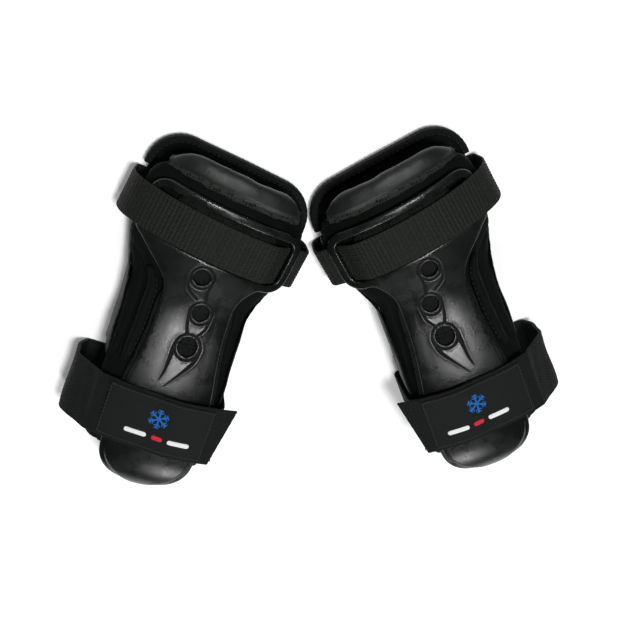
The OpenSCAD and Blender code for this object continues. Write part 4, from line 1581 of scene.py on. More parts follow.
# Padded walls
class Upholsterer:
    """Turns plain soft solids into stuffed fabric with a cloth simulation."""

    def __init__(self, pair: Pair) -> None:
        """Keeps the pair whose solids are the starting shapes."""
        self.pair = pair

    def _start(self, nodes: Sequence[str], voxel: float) -> tuple[Array, Faces]:
        """The solids of the right-hand guard in its own frame, merged into one even mesh.

        Args:
            nodes: the solids, without their side.
            voxel: spacing of the mesh.

        Returns:
            Points and faces.
        """
        points: list[Array] = []
        faces: Faces = []
        for node in nodes:
            mesh = self.pair.frame["nodes"][f"right_{node}"].data
            co = np.empty(len(mesh.vertices) * 3)
            mesh.vertices.foreach_get("co", co)
            n = sum(len(p) for p in points)
            faces += [tuple(i + n for i in f.vertices) for f in mesh.polygons]
            points.append(self.pair.from_pair(co.reshape(-1, 3)))
        mesh = bpy.data.meshes.new("pattern")
        mesh.from_pydata((np.vstack(points) * MM).tolist(), [], faces)
        thing = bpy.data.objects.new("pattern", mesh)
        bpy.context.scene.collection.objects.link(thing)
        remesh = thing.modifiers.new("even", "REMESH")
        remesh.mode = "VOXEL"
        remesh.voxel_size = voxel * MM
        made = self._read(thing)
        bpy.data.objects.remove(thing)
        return made

    @staticmethod
    def _read(thing: bpy.types.Object) -> tuple[Array, Faces]:
        """Points in millimetres and faces of an object, its modifiers included.

        Args:
            thing: the object.

        Returns:
            Points and faces.
        """
        graph = bpy.context.evaluated_depsgraph_get()
        shown = thing.evaluated_get(graph)
        mesh = shown.to_mesh()
        co = np.empty(len(mesh.vertices) * 3)
        mesh.vertices.foreach_get("co", co)
        faces = [tuple(p.vertices) for p in mesh.polygons]
        shown.to_mesh_clear()
        return co.reshape(-1, 3) / MM, faces

    @staticmethod
    def relax(points: Array, faces: Faces, rounds: int, share: float = 0.5) -> Array:
        """Points moved towards their neighbours, which takes the steps out of a mesh.

        Args:
            points: places of the mesh.
            faces: its faces.
            rounds: times that it is smoothed.
            share: how far a point moves each time.

        Returns:
            The new places.
        """
        pairs = {tuple(sorted((f[k], f[(k + 1) % len(f)]))) for f in faces for k in range(len(f))}
        e = np.array(sorted(pairs))
        count = np.bincount(e.ravel(), minlength=len(points))[:, None]
        for _ in range(rounds):
            total = np.zeros_like(points)
            np.add.at(total, e[:, 0], points[e[:, 1]])
            np.add.at(total, e[:, 1], points[e[:, 0]])
            points = mix(points, total / np.maximum(count, 1), share)
        return points

    @staticmethod
    def normals(points: Array, faces: Faces) -> Array:
        """Direction straight out at each point.

        Args:
            points: places of the mesh.
            faces: its faces.

        Returns:
            Outward directions.
        """
        out = np.zeros_like(points)
        quads = np.array([f if len(f) == 4 else (*f, f[-1]) for f in faces if len(f) in (3, 4)])
        n = np.cross(points[quads[:, 2]] - points[quads[:, 0]], points[quads[:, 3]] - points[quads[:, 1]])
        for k in range(4):
            np.add.at(out, quads[:, k], n)
        return out / np.maximum(np.linalg.norm(out, axis=1), 1e-9)[:, None]

    def _swell(self, points: Array, faces: Faces, pressure: float) -> Array:
        """Where the points come to when the skin is blown up as cloth for 20 frames.

        Args:
            points: places of the skin.
            faces: its faces.
            pressure: pressure of the stuffing.

        Returns:
            The new places.
        """
        mesh = bpy.data.meshes.new("stuffed")
        mesh.from_pydata((points * MM).tolist(), [], faces)
        thing = bpy.data.objects.new("stuffed", mesh)
        scene = bpy.context.scene
        scene.collection.objects.link(thing)
        cloth = thing.modifiers.new("cloth", "CLOTH")
        cloth.settings.quality = 4
        cloth.settings.mass = 0.25
        cloth.settings.tension_stiffness = 12
        cloth.settings.compression_stiffness = 12
        cloth.settings.shear_stiffness = 4
        cloth.settings.bending_stiffness = 0.4
        cloth.settings.use_pressure = True
        cloth.settings.uniform_pressure_force = pressure
        cloth.settings.effector_weights.gravity = 0
        cloth.point_cache.frame_start = 1
        cloth.point_cache.frame_end = 20
        for at in range(1, 21):
            scene.frame_set(at)
        moved, _ = self._read(thing)
        scene.frame_set(1)
        bpy.data.objects.remove(thing)
        return moved

    def stuff(self, nodes: Sequence[str], voxel: float, shrink: float, cap: float,
              pressure: float = 4.0, smooth: int = 4, crumple: float = 0.0) -> tuple[Array, Faces]:
        """Stuffed fabric in the place of some solids.

        Args:
            nodes: the solids, without their side.
            voxel: spacing of the even mesh.
            shrink: how far the skin starts inside the solids.
            cap: how far it may then swell.
            pressure: pressure of the stuffing.
            smooth: rounds of smoothing before it swells.
            crumple: height of the slack fabric's waves.

        Returns:
            Points in millimetres and faces, once subdivided.
        """
        points, faces = self._start(nodes, voxel)
        points = self.relax(points, faces, smooth)
        out = self.normals(points, faces)
        points = points - out * shrink
        if crumple:
            points = points + out * (crumple * wiggle(points, 24.0, 1.3))[:, None]
        moved = self._swell(points, faces, pressure) - points
        far = np.linalg.norm(moved, axis=1)[:, None]
        points = points + moved * (cap * np.tanh(far / cap) / np.maximum(far, 1e-6))
        points = self.relax(points, faces, 1)
        mesh = bpy.data.meshes.new("finer")
        mesh.from_pydata((points * MM).tolist(), [], faces)
        thing = bpy.data.objects.new("finer", mesh)
        bpy.context.scene.collection.objects.link(thing)
        finer = thing.modifiers.new("finer", "SUBSURF")
        finer.levels = 1
        finer.render_levels = 1
        made = self._read(thing)
        bpy.data.objects.remove(thing)
        return made


@dataclass
class Sleeve:
    """The padded walls of a guard: palm wall, collar, dorsal wall and stretch sides."""

    sizes: Sizes
    maker: Upholsterer
    seam_deep: float = 0.9
    crease_deep: float = 1.6
    collar_seam_deep: float = 1.0
    lining_seam_deep: float = 0.8
    panel_tuck: float = 8.0

    def __post_init__(self) -> None:
        """Keeps the guard's form."""
        self.form = Form(self.sizes)

    def _rolled_out(self, points: Array) -> Array:
        """Places in the cloth of a piece that is turned about the forearm."""
        around = np.arctan2(points[:, 0], points[:, 2] + self.sizes.axis_deep)
        around = around * (self.sizes.cuff_h + self.sizes.axis_deep)
        return columns(around, points[:, 1], points[:, 2])

    def _press(self, points: Array, faces: Faces, depth: Array) -> Array:
        """Points pushed in along the surface by depth."""
        return points - self.maker.normals(points, faces) * depth[:, None]

    def palm_wall(self) -> Piece:
        """The padded wall under the plate, with the deep crease along its thumb side."""
        nodes = ("palm_cover", "palm_foam", "palm_lining")
        points, faces = self.maker.stuff(nodes, 2.6, 0.9, 1.5, crumple=0.25)
        y = points[:, 1]
        crease = self.form.plate_half(y) + 2.5 + self.sizes.bead_d + 2.4
        outer = points[:, 2] > self.form.skin_z(points[:, 0], self.form.crown(y), -self.sizes.wall_depth - 3)
        near = np.exp(-(((points[:, 0] - crease) / 1.5) ** 2)) * ease(66, 82, y) * (1 - ease(136, 150, y))
        inner = np.exp(-((points[:, 0] + self.form.plate_half(y) + 4.5) ** 2)) * (1 - ease(128, 140, y))
        depth = (self.crease_deep * near + self.seam_deep * inner) * outer
        points = self._press(points, faces, depth)
        shape = Shape(points, faces, self._rolled_out(points))
        return Piece("palm_wall", shape, (COVER,), "cover_fabric", stands_for=nodes, fill=0.7)

    def collar(self) -> Piece:
        """The rolled collar: a mesh band beside the frame, a seam, then the smooth roll."""
        z = self.sizes
        points, faces = self.maker.stuff(("collar_pad",), 2.0, 1.2, 2.6, smooth=12, crumple=0.35)
        _, v = self.form.in_frame(points[:, 0], points[:, 1])
        rise = points[:, 2] - self.form.skin_z(points[:, 0], self.form.crown(points[:, 1]), -8.0)
        seam_v = z.frame_l / 2 + 8.5
        outer = rise > 0
        near = np.exp(-(((v - seam_v) / 1.5) ** 2)) * outer
        points = self._press(points, faces, self.collar_seam_deep * near)
        finish = []
        for f in faces:
            mid_v = float(np.mean(v[list(f)]))
            finish.append(1 if mid_v < seam_v and bool(outer[f[0]]) else 0)
        shape = Shape(points, faces, self._rolled_out(points), None, finish)
        return Piece("collar", shape, (COLLAR, COLLAR_MESH), "collar_fabric",
                     stands_for=("collar_pad",), fill=0.85)

    def dorsal_wall(self) -> Piece:
        """The padded wall that the guard lies on, lining side up in the cuff's mouth."""
        z = self.sizes
        nodes = ("dorsal_cover", "dorsal_foam", "dorsal_lining")
        points, faces = self.maker.stuff(nodes, 2.6, 0.8, 0.9, crumple=0.2)
        points[:, 2] = np.maximum(points[:, 2], z.band_t + 0.05)
        top = points[:, 2] > z.band_t + 3
        loop = self.form.sleeve_outline(9.0, z.sleeve_top - 8, z.cuff_corner - 6)
        gap, _ = distance(points[:, :2], even_steps(loop, 4.0, True), True)
        points[:, 2] -= self.lining_seam_deep * np.exp(-((gap / 1.1) ** 2)) * top
        shape = Shape(points, faces, points.copy())
        low = z.band_t + 2.0
        shape.finish_of = [0 if np.mean(points[list(f), 2]) > low + 1.5 else 1 for f in faces]
        return Piece("dorsal_wall", shape, (LINING, COVER), "lining_fabric", stands_for=nodes, fill=0.7)

    def side(self, name: str, node: str) -> Piece:
        """One stretch side, a little slack and tucked into both walls.

        Args:
            name: what the piece is called.
            node: the solid that it stands for.

        Returns:
            The panel.
        """
        points, faces = self.maker.stuff((node,), 1.3, 0.3, 0.6, pressure=2.0, smooth=4)
        low = self.sizes.inside_z
        high = self.form.skin_z(points[:, 0], self.form.crown(points[:, 1]), -self.sizes.wall_depth - 6.5)
        up = (points[:, 2] - low) / (high - low)
        points[:, 2] += self.panel_tuck * (2 * np.clip(up, 0, 1) - 1)
        sign = 1 if "thumb" in name else -1
        bulge = 0.5 * wiggle(points * (0.4, 1, 1), 26.0, 0.4)
        points[:, 0] += sign * bulge
        chart = columns(points[:, 1], points[:, 2], points[:, 0])
        return Piece(name, Shape(points, faces, chart), (STRETCH,), "stretch_fabric",
                     stands_for=(node,), fill=0.4)

    def cuff_edge(self) -> tuple[Array, float, float]:
        """The dorsal wall's forearm edge, from the thumb side's strap round to the other one."""
        z = self.sizes
        loop = self.form.sleeve_outline(0, z.sleeve_top, z.cuff_corner)
        _, v = self.form.in_frame(loop[:, 0], loop[:, 1])
        kept = loop[v > z.web_v + z.web_w / 2 + 2.5]
        return even_steps(kept, 1.0), z.band_t, z.inside_z

    def _tape(self, name: str, line: Array, low: float, high: float, node: str, lap: float) -> Piece:
        """A folded tape round an edge of the dorsal wall.

        Args:
            name: what the piece is called.
            line: the edge in plan, the wall lying on its left.
            low: height of the wall's underside.
            high: height of its inner face.
            node: the solid that it stands for.
            lap: how far the tape reaches onto both faces.

        Returns:
            The tape.
        """
        ahead = np.gradient(line, axis=0)
        ahead /= np.linalg.norm(ahead, axis=1)[:, None]
        out = columns(ahead[:, 1], -ahead[:, 0])
        mid, half, t = (low + high) / 2, (high - low) / 2, 0.75
        bow = np.radians(np.linspace(-90, 90, 9))
        outer = [(-lap, -half - t * 0.3)] + [
            (0.45 + (self.sizes.tape_t - 0.45) * math.cos(a), (half + 0.1) * math.sin(a)) for a in bow
        ] + [(-lap, half + t)]
        inner = [(-lap, half - 0.3), (-0.4, half - 0.5), (-0.4, -half + 0.5), (-lap, -half + 0.1)]
        profile = np.array(outer + inner)
        ring = len(profile)
        s = np.concatenate([[0], np.cumsum(np.linalg.norm(np.diff(line, axis=0), axis=1))])
        ruck = 0.10 * np.sin(2 * math.pi * s / 3.4) + 0.12 * np.sin(s / 9.0)
        reach = profile[:, 0][None, :] + ruck[:, None] * (profile[:, 0] > 0)
        xy = line[:, None, :] + out[:, None, :] * reach[:, :, None]
        height = np.broadcast_to(mid + profile[:, 1], reach.shape)
        points = np.dstack([xy, height]).reshape(-1, 3)
        faces = []
        for i in range(len(line) - 1):
            for k in range(ring):
                m = (k + 1) % ring
                faces.append((i * ring + k, i * ring + m, (i + 1) * ring + m, (i + 1) * ring + k))
        faces.append(tuple(range(ring))[::-1])
        faces.append(tuple(range((len(line) - 1) * ring, len(line) * ring)))
        across = np.tile(profile[:, 1] + profile[:, 0], len(line))
        chart = columns(np.repeat(s, ring), across, np.zeros(len(points)))
        edge = np.tile((np.abs(profile[:, 1]) < half * 0.5) * 0.5, len(line))
        return Piece(name, Shape(points, oriented(points, faces), chart, edge), (BINDING,), "binding_tape",
                     stands_for=(node,))

    def bindings(self) -> list[Piece]:
        """Tape at both ends of the dorsal wall, with its stitches."""
        z = self.sizes
        line, low, high = self.cuff_edge()
        w = z.hand_w - 20
        bottom = z.nose_len - 4
        hand = even_steps(np.array([(z.set_over - w / 2, bottom), (z.set_over + w / 2, bottom)]), 1.0)
        made = [self._tape("cuff_tape", line, low, high, "cuff_binding", 3.4),
            self._tape("hand_tape", hand, low, high, "hand_binding", 2.6)]
        for name, path, lap in (("cuff_tape_seam", line, 2.4), ("hand_tape_seam", hand, 1.8)):
            ahead = np.gradient(path, axis=0)
            ahead /= np.linalg.norm(ahead, axis=1)[:, None]
            inward = columns(-ahead[:, 1], ahead[:, 0])
            at = path + inward * lap
            places = columns(at, np.full(len(at), high + 0.72))
            up = np.tile((0.0, 0.0, 1.0), (len(at), 1))
            made.append(Piece(name, stitches(places, up), (THREAD,), "binding_tape"))
        return made

    def pieces(self) -> list[Piece]:
        """Every piece of the sleeve."""
        return [self.palm_wall(), self.collar(), self.dorsal_wall(),
            self.side("thumb_side", "thumb_side_panel"), self.side("inner_side", "inner_side_panel"),
            *self.bindings()]


# Straps
@dataclass
class ForearmStrap:
    """The webbing that runs through the frame and closes under the cuff, with its hook and loop."""

    sizes: Sizes
    rib: float = 2.6
    lane: float = 1.9

    def __post_init__(self) -> None:
        """Keeps the guard's form and the strap's fold."""
        self.form = Form(self.sizes)
        self.fold_u = self.sizes.frame_w / 2 - 0.2 + 0.3

    def _skew(self, u: Array) -> Array:
        """How much nearer the turned plate lies under the slanted strap's corners."""
        z = self.sizes
        return np.abs(u) / (z.cuff_h + z.axis_deep) * z.web_w / 2 * math.sin(z.slant)

    def _over(self, u: Array) -> Array:
        """Height of the strap where it runs over the plate."""
        return self.form.skin_z(u, self.sizes.cuff_h, self.sizes.seat + self.sizes.web_t / 2) + self._skew(u)

    def _under(self, u: Array) -> Array:
        """Height of the strap where it dives under the inner bar."""
        z = self.sizes
        return self.form.skin_z(u, z.cuff_h, -z.plate_t - 0.5 - z.web_t / 2) - self._skew(u)

    def line(self) -> Array:
        """The strap's middle across the frame, from its sewn end right round to its hook end."""
        z = self.sizes
        side = z.cuff_w / 2 + 4.6
        low = z.band_t - z.web_t / 2 - 0.1
        u = np.arange(-z.frame_w / 2 + 1, z.frame_w / 2 - 0.2, 3.0)
        run = columns(u, mix(self._under(u), self._over(u),
                                      ease(z.bar_w + 1.5 - z.frame_w / 2, z.bar_w + 13 - z.frame_w / 2, u)))
        inner = curve_through([(-20, low), (-side + 14, low), (-side + 5, 1.35), (-side + 0.9, 4.2),
                               (-side, 12), (-side + 0.6, 24), tuple(run[0])], 6)[:-1]
        bottom = z.web_t / 2 + 0.05
        out = side + 3.4
        fold = (self.fold_u, float(self._over(self.fold_u)))
        outer = curve_through([fold, (out - 3, 30), (out, 19), (out - 1.5, 8), (side + 0.6, 3.2),
                               (side - 5, 1.1), (side - 13, bottom), (10, bottom)], 6)
        return np.vstack([inner, run, outer])

    def _weave(self, s: Array, v: Array) -> Array:
        """Height of the coarse weave: ribs across the strap, broken by the lengthwise threads."""
        rib = np.abs(np.sin(math.pi * s / self.rib)) ** 0.7
        row = np.floor(s / self.rib)
        thread = np.cos(2 * math.pi * v / self.lane + math.pi * row)
        inside_edge = np.clip((self.sizes.web_w / 2 - np.abs(v)) / 1.2, 0, 1)
        return inside_edge * (0.26 * (rib - 0.6) + 0.13 * thread)

    def _ribbon(self) -> Ribbon:
        """The strap's own ribbon."""
        z = self.sizes
        return Ribbon(self.line()[::-1], z.web_w, z.web_t - 0.3, z.web_v, self.form.across,
                      0.43, 60, self._weave, lambda s, v: 0.12 * np.sin(s / 21.0) * (v / z.web_w))

    def pieces(self) -> list[Piece]:
        """Webbing, hook tape and loop patch."""
        z = self.sizes
        ribbon = self._ribbon()
        fold = np.array((self.fold_u, float(self._over(self.fold_u))))
        turn = math.radians(60)
        way = np.array((math.cos(turn), -math.sin(turn)))
        start, end = fold - 0.3 * way, fold + 7.2 * way
        ends = []
        for at in (start, end):
            x, y = self.form.across(at[0], z.web_v)
            ends.append((float(x), float(y), float(at[1])))
        made = [Piece("forearm_webbing", ribbon.build(), (WEBBING,), "webbing",
                      stands_for=("forearm_strap", "forearm_strap_end"),
                      bend=Bend(Part.FOREARM_STRAP, ends[0], ends[1]))]
        hook = Ribbon(np.array([(13.0, z.web_t + 0.52), (37.0, z.web_t + 0.52)]), z.web_w - 1, 0.62,
                      z.web_v, self.form.across, 0.8, 26,
                      lambda s, v: 0.12 * np.sin(math.pi * s / 0.8) * np.sin(math.pi * v / 0.9))
        made.append(Piece("forearm_hooks", hook.build(), (HOOK,), "hook_tape", Part.FOREARM_STRAP,
                          ("forearm_hook_tape",)))
        loop = Ribbon(np.array([(10.0, z.band_t + 0.45), (44.0, z.band_t + 0.45)]), z.web_w + 6, 0.7,
                      z.web_v, self.form.across, 0.8, 34,
                      lambda s, v: 0.08 * np.sin(s * 5.1 + 2 * np.sin(v * 3.3)) * np.cos(v * 4.7))
        made.append(Piece("forearm_loops", loop.build(), (PILE,), "loop_pile",
                          stands_for=("forearm_loop_patch",)))
        return made


@dataclass
class HandStraps:
    """The elastic hand strap with its label, and the tab on the inner side that it closes on."""

    sizes: Sizes
    rib: float = 1.6
    label_w: float = 66.0

    def __post_init__(self) -> None:
        """Keeps the guard's form and the heights that the straps lie at."""
        z = self.sizes
        self.form = Form(z)
        self.low = z.seat + z.band_t / 2
        self.hook_low = 2 * z.seat + z.tab_t
        self.high = self.hook_low + z.hook_t + 0.05 + z.band_t / 2
        self.tab_end = -z.palm_w / 2 - 11

    @staticmethod
    def fold(sizes: Sizes, lift: float) -> tuple[float, float]:
        """x and z of the line on the hand strap's outer face that it folds about.

        Args:
            sizes: the guard's sizes.
            lift: height of the strap's middle above the plate.

        Returns:
            x and z.
        """
        x = sizes.thumb_side - 1
        r = sizes.palm_h + sizes.axis_deep + lift
        turn = math.asin(x / r)
        half = sizes.band_t / 2
        return x + half * math.sin(turn), r * math.cos(turn) - sizes.axis_deep + half * math.cos(turn)

    def _lift(self, x: Array) -> Array:
        """Height of the strap's middle above the plate: it rises over the inner side's tab."""
        return mix(self.high, self.low, ease(-10, 8, x))

    def _over(self, start: float, stop: float) -> Array:
        """The strap's middle over the plate, between two places."""
        x = np.linspace(start, stop, 60)
        return columns(x, self.form.skin_z(x, self.sizes.palm_h, self._lift(x)))

    def line(self) -> Array:
        """The strap's middle from under the dorsal wall, round the thumb side and over the plate."""
        z = self.sizes
        t = z.band_t / 2
        base = z.thumb_side + 5
        side = z.thumb_side + z.thumb_gap + t
        fold = z.thumb_side - 1
        top = float(self.form.skin_z(fold, z.palm_h, self.low))
        rise = curve_through([(base, t), (base + 3, t + 0.5), (side - 3, 5.5), (side - 0.3, 12), (side, 20),
                              (side - 0.3, 31), (fold + 2.8, top - 4.5), (fold + 0.3, top - 0.6)], 6)[:-1]
        return np.vstack([[(-8.0, t)], rise, self._over(fold - 0.3, self.tab_end + 0.6)])

    def _place(self, u: Array, v: Array) -> tuple[Array, Array]:
        """x and y of a place on the hand strap."""
        return u, v + 0 * u

    def _sway(self, s: Array, v: Array) -> Array:
        """Slack in the loop beyond the thumb side, and ripples near the fold."""
        total = self.length
        loop = np.exp(-(((s - 0.47 * total) / 26) ** 2))
        near_fold = np.exp(-(((s - self.fold_s) / 12) ** 2))
        return 0.55 * loop * np.sin(v / 6.5 + 0.4) + 0.22 * near_fold * np.sin(s / 1.9 + v * 0.12)

    def _weave(self, s: Array, v: Array) -> Array:
        """Height of the ribbed elastic."""
        rib = np.abs(np.sin(math.pi * (s + 0.35 * v) / self.rib))
        inside_edge = np.clip((self.sizes.band_w / 2 - np.abs(v)) / 1.5, 0, 1)
        hem = np.exp(-(((self.sizes.band_w / 2 - 2.2 - np.abs(v)) / 0.5) ** 2))
        return inside_edge * 0.2 * (rib - 0.6) - 0.18 * hem

    def _band(self) -> Ribbon:
        """The strap's own ribbon, its outer face on the left of its line."""
        z = self.sizes
        line = self.line()
        d = np.linalg.norm(np.diff(line, axis=0), axis=1)
        s = np.concatenate([[0], np.cumsum(d)])
        self.length = float(s[-1])
        self.fold_s = float(s[-60])
        return Ribbon(line[::-1], z.band_w, z.band_t - 0.16, z.band_y, self._place, 0.4, 44, self._weave,
                      lambda a, v: -self._sway(self.length - a, v), start_cut=-math.radians(12))

    def band(self) -> Piece:
        """The whole elastic strap, which bends at its fold."""
        ribbon = self._band()
        shape = ribbon.build()
        x, height = self.fold(self.sizes, self.low)
        turn = math.radians(35)
        way = (-math.sin(turn), math.cos(turn))
        y = self.sizes.band_y
        start = (x - 1.5 * way[0], y, height - 1.5 * way[1])
        end = (x + 6.0 * way[0], y, height + 6.0 * way[1])
        return Piece("hand_strap", shape, (ELASTIC,), "strap_elastic",
                     stands_for=("hand_strap_base", "hand_strap_side", "hand_strap_tab"),
                     bend=Bend(Part.HAND_STRAP, start, end))

    def _label_z(self, x: Array, up: float) -> Array:
        """Height of the label's outer face, raised by up.

        Args:
            x: place across the guard.
            up: height above the outer face.

        Returns:
            The height.
        """
        lift = self._lift(x) + self.sizes.band_t / 2 + 0.75 + up
        return self.form.skin_z(x, self.sizes.palm_h, lift)

    def label(self) -> list[Piece]:
        """The woven label, its border and its stitches."""
        z = self.sizes
        x0, x1 = -z.palm_w / 2 - 1, self.label_w - z.palm_w / 2 - 1
        x = np.linspace(x0, x1, 60)
        long = z.band_w - 4
        line = columns(x, self._label_z(x, -0.35))[::-1]
        rise = 0.12

        def border_step(s: Array, v: Array) -> Array:
            """A raised woven border inside the label's edge."""
            to_edge = np.minimum(long / 2 - np.abs(v), np.minimum(s, self.label_w - s))
            band = np.exp(-(((to_edge - 2.6) / 0.55) ** 2))
            return rise * band + 0.03 * np.sin(2 * math.pi * v / 0.9)

        ribbon = Ribbon(line, long, 0.7, z.band_y, self._place, 0.6, 60, border_step)
        made = [Piece("label", ribbon.build(), (LABEL,), "label_weave", Part.HAND_STRAP,
                      ("hand_strap_label",))]
        in_x, in_v = 1.1, long / 2 - 1.1
        corners = [(x0 + in_x, -in_v), (x1 - in_x, -in_v), (x1 - in_x, in_v), (x0 + in_x, in_v)]
        loop = even_steps(np.array(corners + corners[:1]), 0.8)
        places = columns(loop[:, 0], z.band_y + loop[:, 1], self._label_z(loop[:, 0], 0.02))
        r = z.palm_h + z.axis_deep
        out = columns(loop[:, 0] / r, 0 * loop[:, 0], np.sqrt(1 - (loop[:, 0] / r) ** 2))
        made.append(Piece("label_seam", stitches(places, out, 1.9, 0.5, 0.26), (BORDER,), "label_weave",
                          Part.HAND_STRAP))
        return made

    def _bar(self, x: float, v: float, long: float, wide: float, turn: float) -> Shape:
        """One satin-stitched bar of the mark, domed and laid on the label.

        Args:
            x: place of its middle across the guard.
            v: place of its middle along the forearm, from the strap's middle.
            long: its length.
            wide: its width.
            turn: its angle from across, in radians.

        Returns:
            The bar.
        """
        nu, nv = max(6, int(long / 0.5)), 6
        a = np.linspace(-1, 1, nu + 1)
        b = np.linspace(-1, 1, nv + 1)
        aa, bb = np.meshgrid(a, b)
        ends = np.clip((1 - np.abs(aa)) * long / wide, 0, 1)
        across = bb * wide / 2 * np.sqrt(np.maximum(ends * (2 - ends), 0.02))
        along = aa * long / 2
        rise = 0.34 * np.sqrt(np.maximum(1 - bb**2, 0)) * np.sqrt(np.maximum(ends, 0.02))
        rise = rise + 0.05 * np.sin(along * 2 * math.pi / 0.55) * (np.abs(bb) < 0.9)
        px = x + along * math.cos(turn) - across * math.sin(turn)
        pv = v + along * math.sin(turn) + across * math.cos(turn)
        top = columns(px.ravel(), self.sizes.band_y + pv.ravel(),
                               self._label_z(px.ravel(), 0.0) + rise.ravel())
        under = top.copy()
        under[:, 2] = self._label_z(px.ravel(), -0.25)
        n, m = len(top), nu + 1
        faces = []
        for i in range(nv):
            for k in range(nu):
                q = (i * m + k, i * m + k + 1, (i + 1) * m + k + 1, (i + 1) * m + k)
                faces += [q, tuple(j + n for j in q[::-1])]
        rim = [k for k in range(m)] + [i * m + nu for i in range(1, nv + 1)]
        rim += [nv * m + k for k in range(nu - 1, -1, -1)] + [i * m for i in range(nv - 1, 0, -1)]
        faces += [(p, p + n, q + n, q) for p, q in zip(rim, rim[1:] + rim[:1])]
        chart = columns(along.ravel(), across.ravel(), 0 * along.ravel())
        points = np.vstack([top, under])
        return Shape(points, oriented(points, faces), np.vstack([chart, chart]))

    def mark(self) -> list[Piece]:
        """A plain stand-in mark: a six-armed snowflake over a row of short bars."""
        cx, cv, arm = 1.5, 4.2, 6.4
        flake: Shape | None = None
        for k in range(6):
            turn = math.radians(60 * k + 30)
            dx, dv = math.cos(turn), math.sin(turn)
            parts = [(cx + dx * arm / 2, cv + dv * arm / 2, arm, 1.15, turn)]
            for away, size in ((0.52, 2.6), (0.78, 1.9)):
                for lean in (-1, 1):
                    a = turn + lean * math.radians(58)
                    px = cx + dx * arm * away + math.cos(a) * size / 2
                    pv = cv + dv * arm * away + math.sin(a) * size / 2
                    parts.append((px, pv, size, 0.8, a))
            for part in parts:
                bar = self._bar(*part)
                flake = bar if flake is None else flake.join(bar)
        row = ((-14.5, 14.0), (-1.0, 7.0), (12.5, 14.0))
        white = self._bar(row[0][0], -8.2, row[0][1], 3.0, 0.0).join(
            self._bar(row[2][0], -8.2, row[2][1], 3.0, 0.0))
        red = self._bar(row[1][0], -8.2, row[1][1], 3.0, 0.0)
        made = []
        for name, shape, finish in (("mark_flake", flake, THREAD_BLUE), ("mark_bars", white, THREAD_WHITE),
                                    ("mark_bar_red", red, THREAD_RED)):
            made.append(Piece(name, shape, (finish,), "label_weave", Part.HAND_STRAP))
        return made

    def hooks(self) -> Piece:
        """The hook tape under the strap's tab."""
        z = self.sizes
        x = np.linspace(-z.palm_w / 2 - 1, -12.0, 30)
        line = columns(x, self.form.skin_z(x, z.palm_h, self.hook_low + z.hook_t / 2))[::-1]
        ribbon = Ribbon(line, z.band_w - 4, z.hook_t - 0.25, z.band_y, self._place, 0.8, 44,
                        lambda s, v: 0.1 * np.sin(math.pi * s / 0.8) * np.sin(math.pi * v / 0.9))
        return Piece("hand_hooks", ribbon.build(), (HOOK,), "hook_tape", Part.HAND_STRAP, ("hand_hook_tape",))

    def loop_tab(self) -> Piece:
        """The tab faced with loop pile, sewn under the dorsal wall and laid over the plate's edge."""
        z = self.sizes
        edge = z.hand_w / 2 - z.set_over + 1.6
        up = float(self.form.skin_z(edge - 6, z.palm_h, z.seat + z.tab_t / 2))
        under = z.band_t - z.tab_t / 2 - 0.1
        rise = curve_through([(-12, under), (-edge + 9, under), (-edge + 2.8, 1.4), (-edge - 1.4, 4),
                              (-edge - 1.6, 12), (-edge - 1.2, 30), (-edge - 0.4, up - 8),
                               (-edge + 3, up - 1.6)], 6)
        x = np.arange(-edge + 6, -11, 2.0)
        over = columns(x, self.form.skin_z(x, z.palm_h, z.seat + z.tab_t / 2))
        line = np.vstack([rise, over])
        ribbon = Ribbon(line, z.band_w - 4, z.tab_t - 0.15, z.band_y, self._place, 0.9, 34,
                        lambda s, v: 0.05 * np.sin(s * 4.1 + 2 * np.sin(v * 2.3)) * np.cos(v * 3.7))
        return Piece("pile_tab", ribbon.build(), (PILE,), "loop_pile", stands_for=("hand_loop_tab",))

    def seams(self) -> Piece:
        """Two rows of stitches across the strap beside the label's thumb end."""
        ribbon = self._band()
        v = np.linspace(-self.sizes.band_w / 2 + 2, self.sizes.band_w / 2 - 2, 40)
        row: Shape | None = None
        for away in (2.0, 76.0):
            places, out = ribbon.on_face(np.full(len(v), away + 1.5), v, 0.02)
            one = stitches(places, out, 2.0, 0.9, 0.26)
            row = one if row is None else row.join(one)
        return Piece("hand_strap_seam", row, (THREAD,), "strap_elastic", Part.HAND_STRAP)

    def pieces(self) -> list[Piece]:
        """Every piece of the hand strap and its tab."""
        return [self.band(), *self.label(), *self.mark(), self.hooks(), self.loop_tab(), self.seams()]


# Studio
@dataclass(frozen=True)
class Lamp:
    """One soft light."""

    name: str
    place: tuple[float, float, float]
    aim: tuple[float, float, float]
    size: tuple[float, float]
    power: float


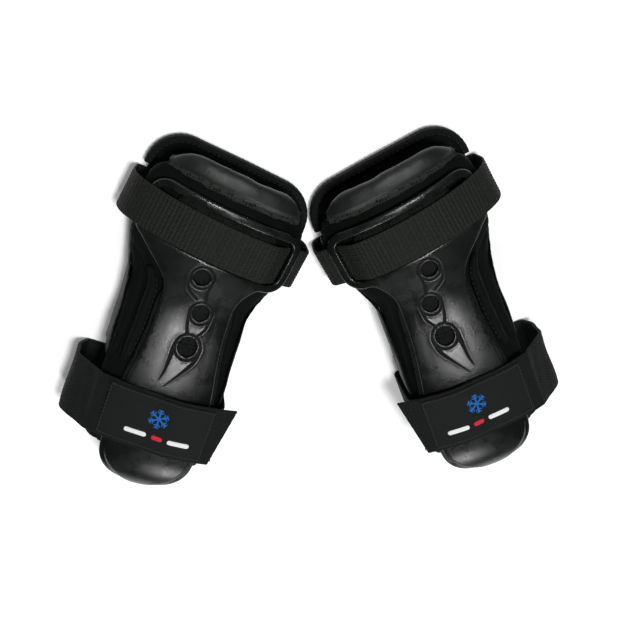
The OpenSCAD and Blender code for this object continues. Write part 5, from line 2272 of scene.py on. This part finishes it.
@dataclass
class Studio:
    """Pale floor, soft lights and the camera."""

    target: tuple[float, float, float] = (0.0042, -0.007, 0.03)
    tilt: tuple[float, float] = (-7.0, 20.5)
    away: float = 0.965
    lens: float = 88.2
    lamps: tuple[Lamp, ...] = (Lamp("overhead", (0.22, 0.26, 2.6), (0.0, 0.0, 0.0), (0.46, 0.46), 57.0),
        Lamp("front", (0.22, -1.9, 1.4), (0.0, 0.0, 0.02), (0.45, 0.7), 24.0),
        Lamp("back", (-0.5, 2.2, 1.5), (0.0, 0.05, 0.03), (1.6, 0.5), 10.0))

    def build(self) -> None:
        """Makes the whole studio."""
        self._floor()
        for lamp in self.lamps:
            self._light(lamp)
        world = bpy.data.worlds.new("studio")
        world.use_nodes = True
        world.node_tree.nodes["Background"].inputs[0].default_value = (0.98, 0.99, 1.0, 1.0)
        world.node_tree.nodes["Background"].inputs[1].default_value = 0.10
        scene = bpy.context.scene
        scene.world = world
        scene.view_settings.view_transform = "Standard"
        scene.view_settings.look = "None"
        self._camera()

    @staticmethod
    def _floor() -> None:
        """A wide pale floor."""
        mesh = bpy.data.meshes.new("floor")
        r, low = 3.0, -0.0004
        mesh.from_pydata([(-r, -r, low), (r, -r, low), (r, r, low), (-r, r, low)], [], [(0, 1, 2, 3)])
        material = bpy.data.materials.new("pale_floor")
        material.use_nodes = True
        shader = material.node_tree.nodes["Principled BSDF"]
        shader.inputs["Base Color"].default_value = (0.93, 0.93, 0.93, 1.0)
        shader.inputs["Roughness"].default_value = 0.9
        shader.inputs["Emission Color"].default_value = (1.0, 1.0, 1.0, 1.0)
        shader.inputs["Emission Strength"].default_value = 0.12
        mesh.materials.append(material)
        floor = bpy.data.objects.new("floor", mesh)
        bpy.context.scene.collection.objects.link(floor)

    @staticmethod
    def _light(lamp: Lamp) -> None:
        """One area light.

        Args:
            lamp: the light's sizes and place.
        """
        data = bpy.data.lights.new(lamp.name, "AREA")
        data.shape = "RECTANGLE"
        data.size, data.size_y = lamp.size
        data.energy = lamp.power
        light = bpy.data.objects.new(lamp.name, data)
        light.location = lamp.place
        way = Vector(lamp.aim) - Vector(lamp.place)
        light.rotation_euler = way.to_track_quat("-Z", "Y").to_euler()
        bpy.context.scene.collection.objects.link(light)

    def _camera(self) -> None:
        """The camera, looking down at the pair from beyond the forearm ends."""
        data = bpy.data.cameras.new("camera")
        data.lens = self.lens
        data.sensor_width = 36.0
        data.dof.use_dof = False
        camera = bpy.data.objects.new("camera", data)
        right, back = (math.tan(math.radians(a)) for a in self.tilt)
        way = Vector((right, back, 1.0)).normalized()
        target = Vector(self.target)
        camera.location = target + way * self.away
        up = Vector((0.0, 1.0, 0.0))
        up = (up - way * up.dot(way)).normalized()
        side = up.cross(way)
        camera.rotation_mode = "QUATERNION"
        rows = ((side.x, up.x, way.x), (side.y, up.y, way.y), (side.z, up.z, way.z))
        camera.rotation_quaternion = Matrix(rows).to_quaternion()
        bpy.context.scene.collection.objects.link(camera)
        bpy.context.scene.camera = camera


def main() -> None:
    """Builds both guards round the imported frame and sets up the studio."""
    logging.basicConfig(level=logging.INFO, format="%(message)s")
    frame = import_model()
    sizes = Sizes()
    Studio().build()
    dresser = Dresser()
    pair = Pair(frame, sizes, dresser)
    plate = PalmPlate(sizes)
    for piece in (plate.plate(), plate.liner(), plate.bead(), plate.bead_seam()):
        pair.lay_out(piece)
    for piece in Sleeve(sizes, Upholsterer(pair)).pieces():
        pair.lay_out(piece)
    for piece in ForearmStrap(sizes).pieces() + HandStraps(sizes).pieces():
        pair.lay_out(piece)
    pair.dress_solids(RIVET, "plate_rivets")
    pair.dress_solids(WASHER, "rivet_washers")
    pair.dress_solids(STAY, "dorsal_stay")


if __name__ == "__main__":
    main()
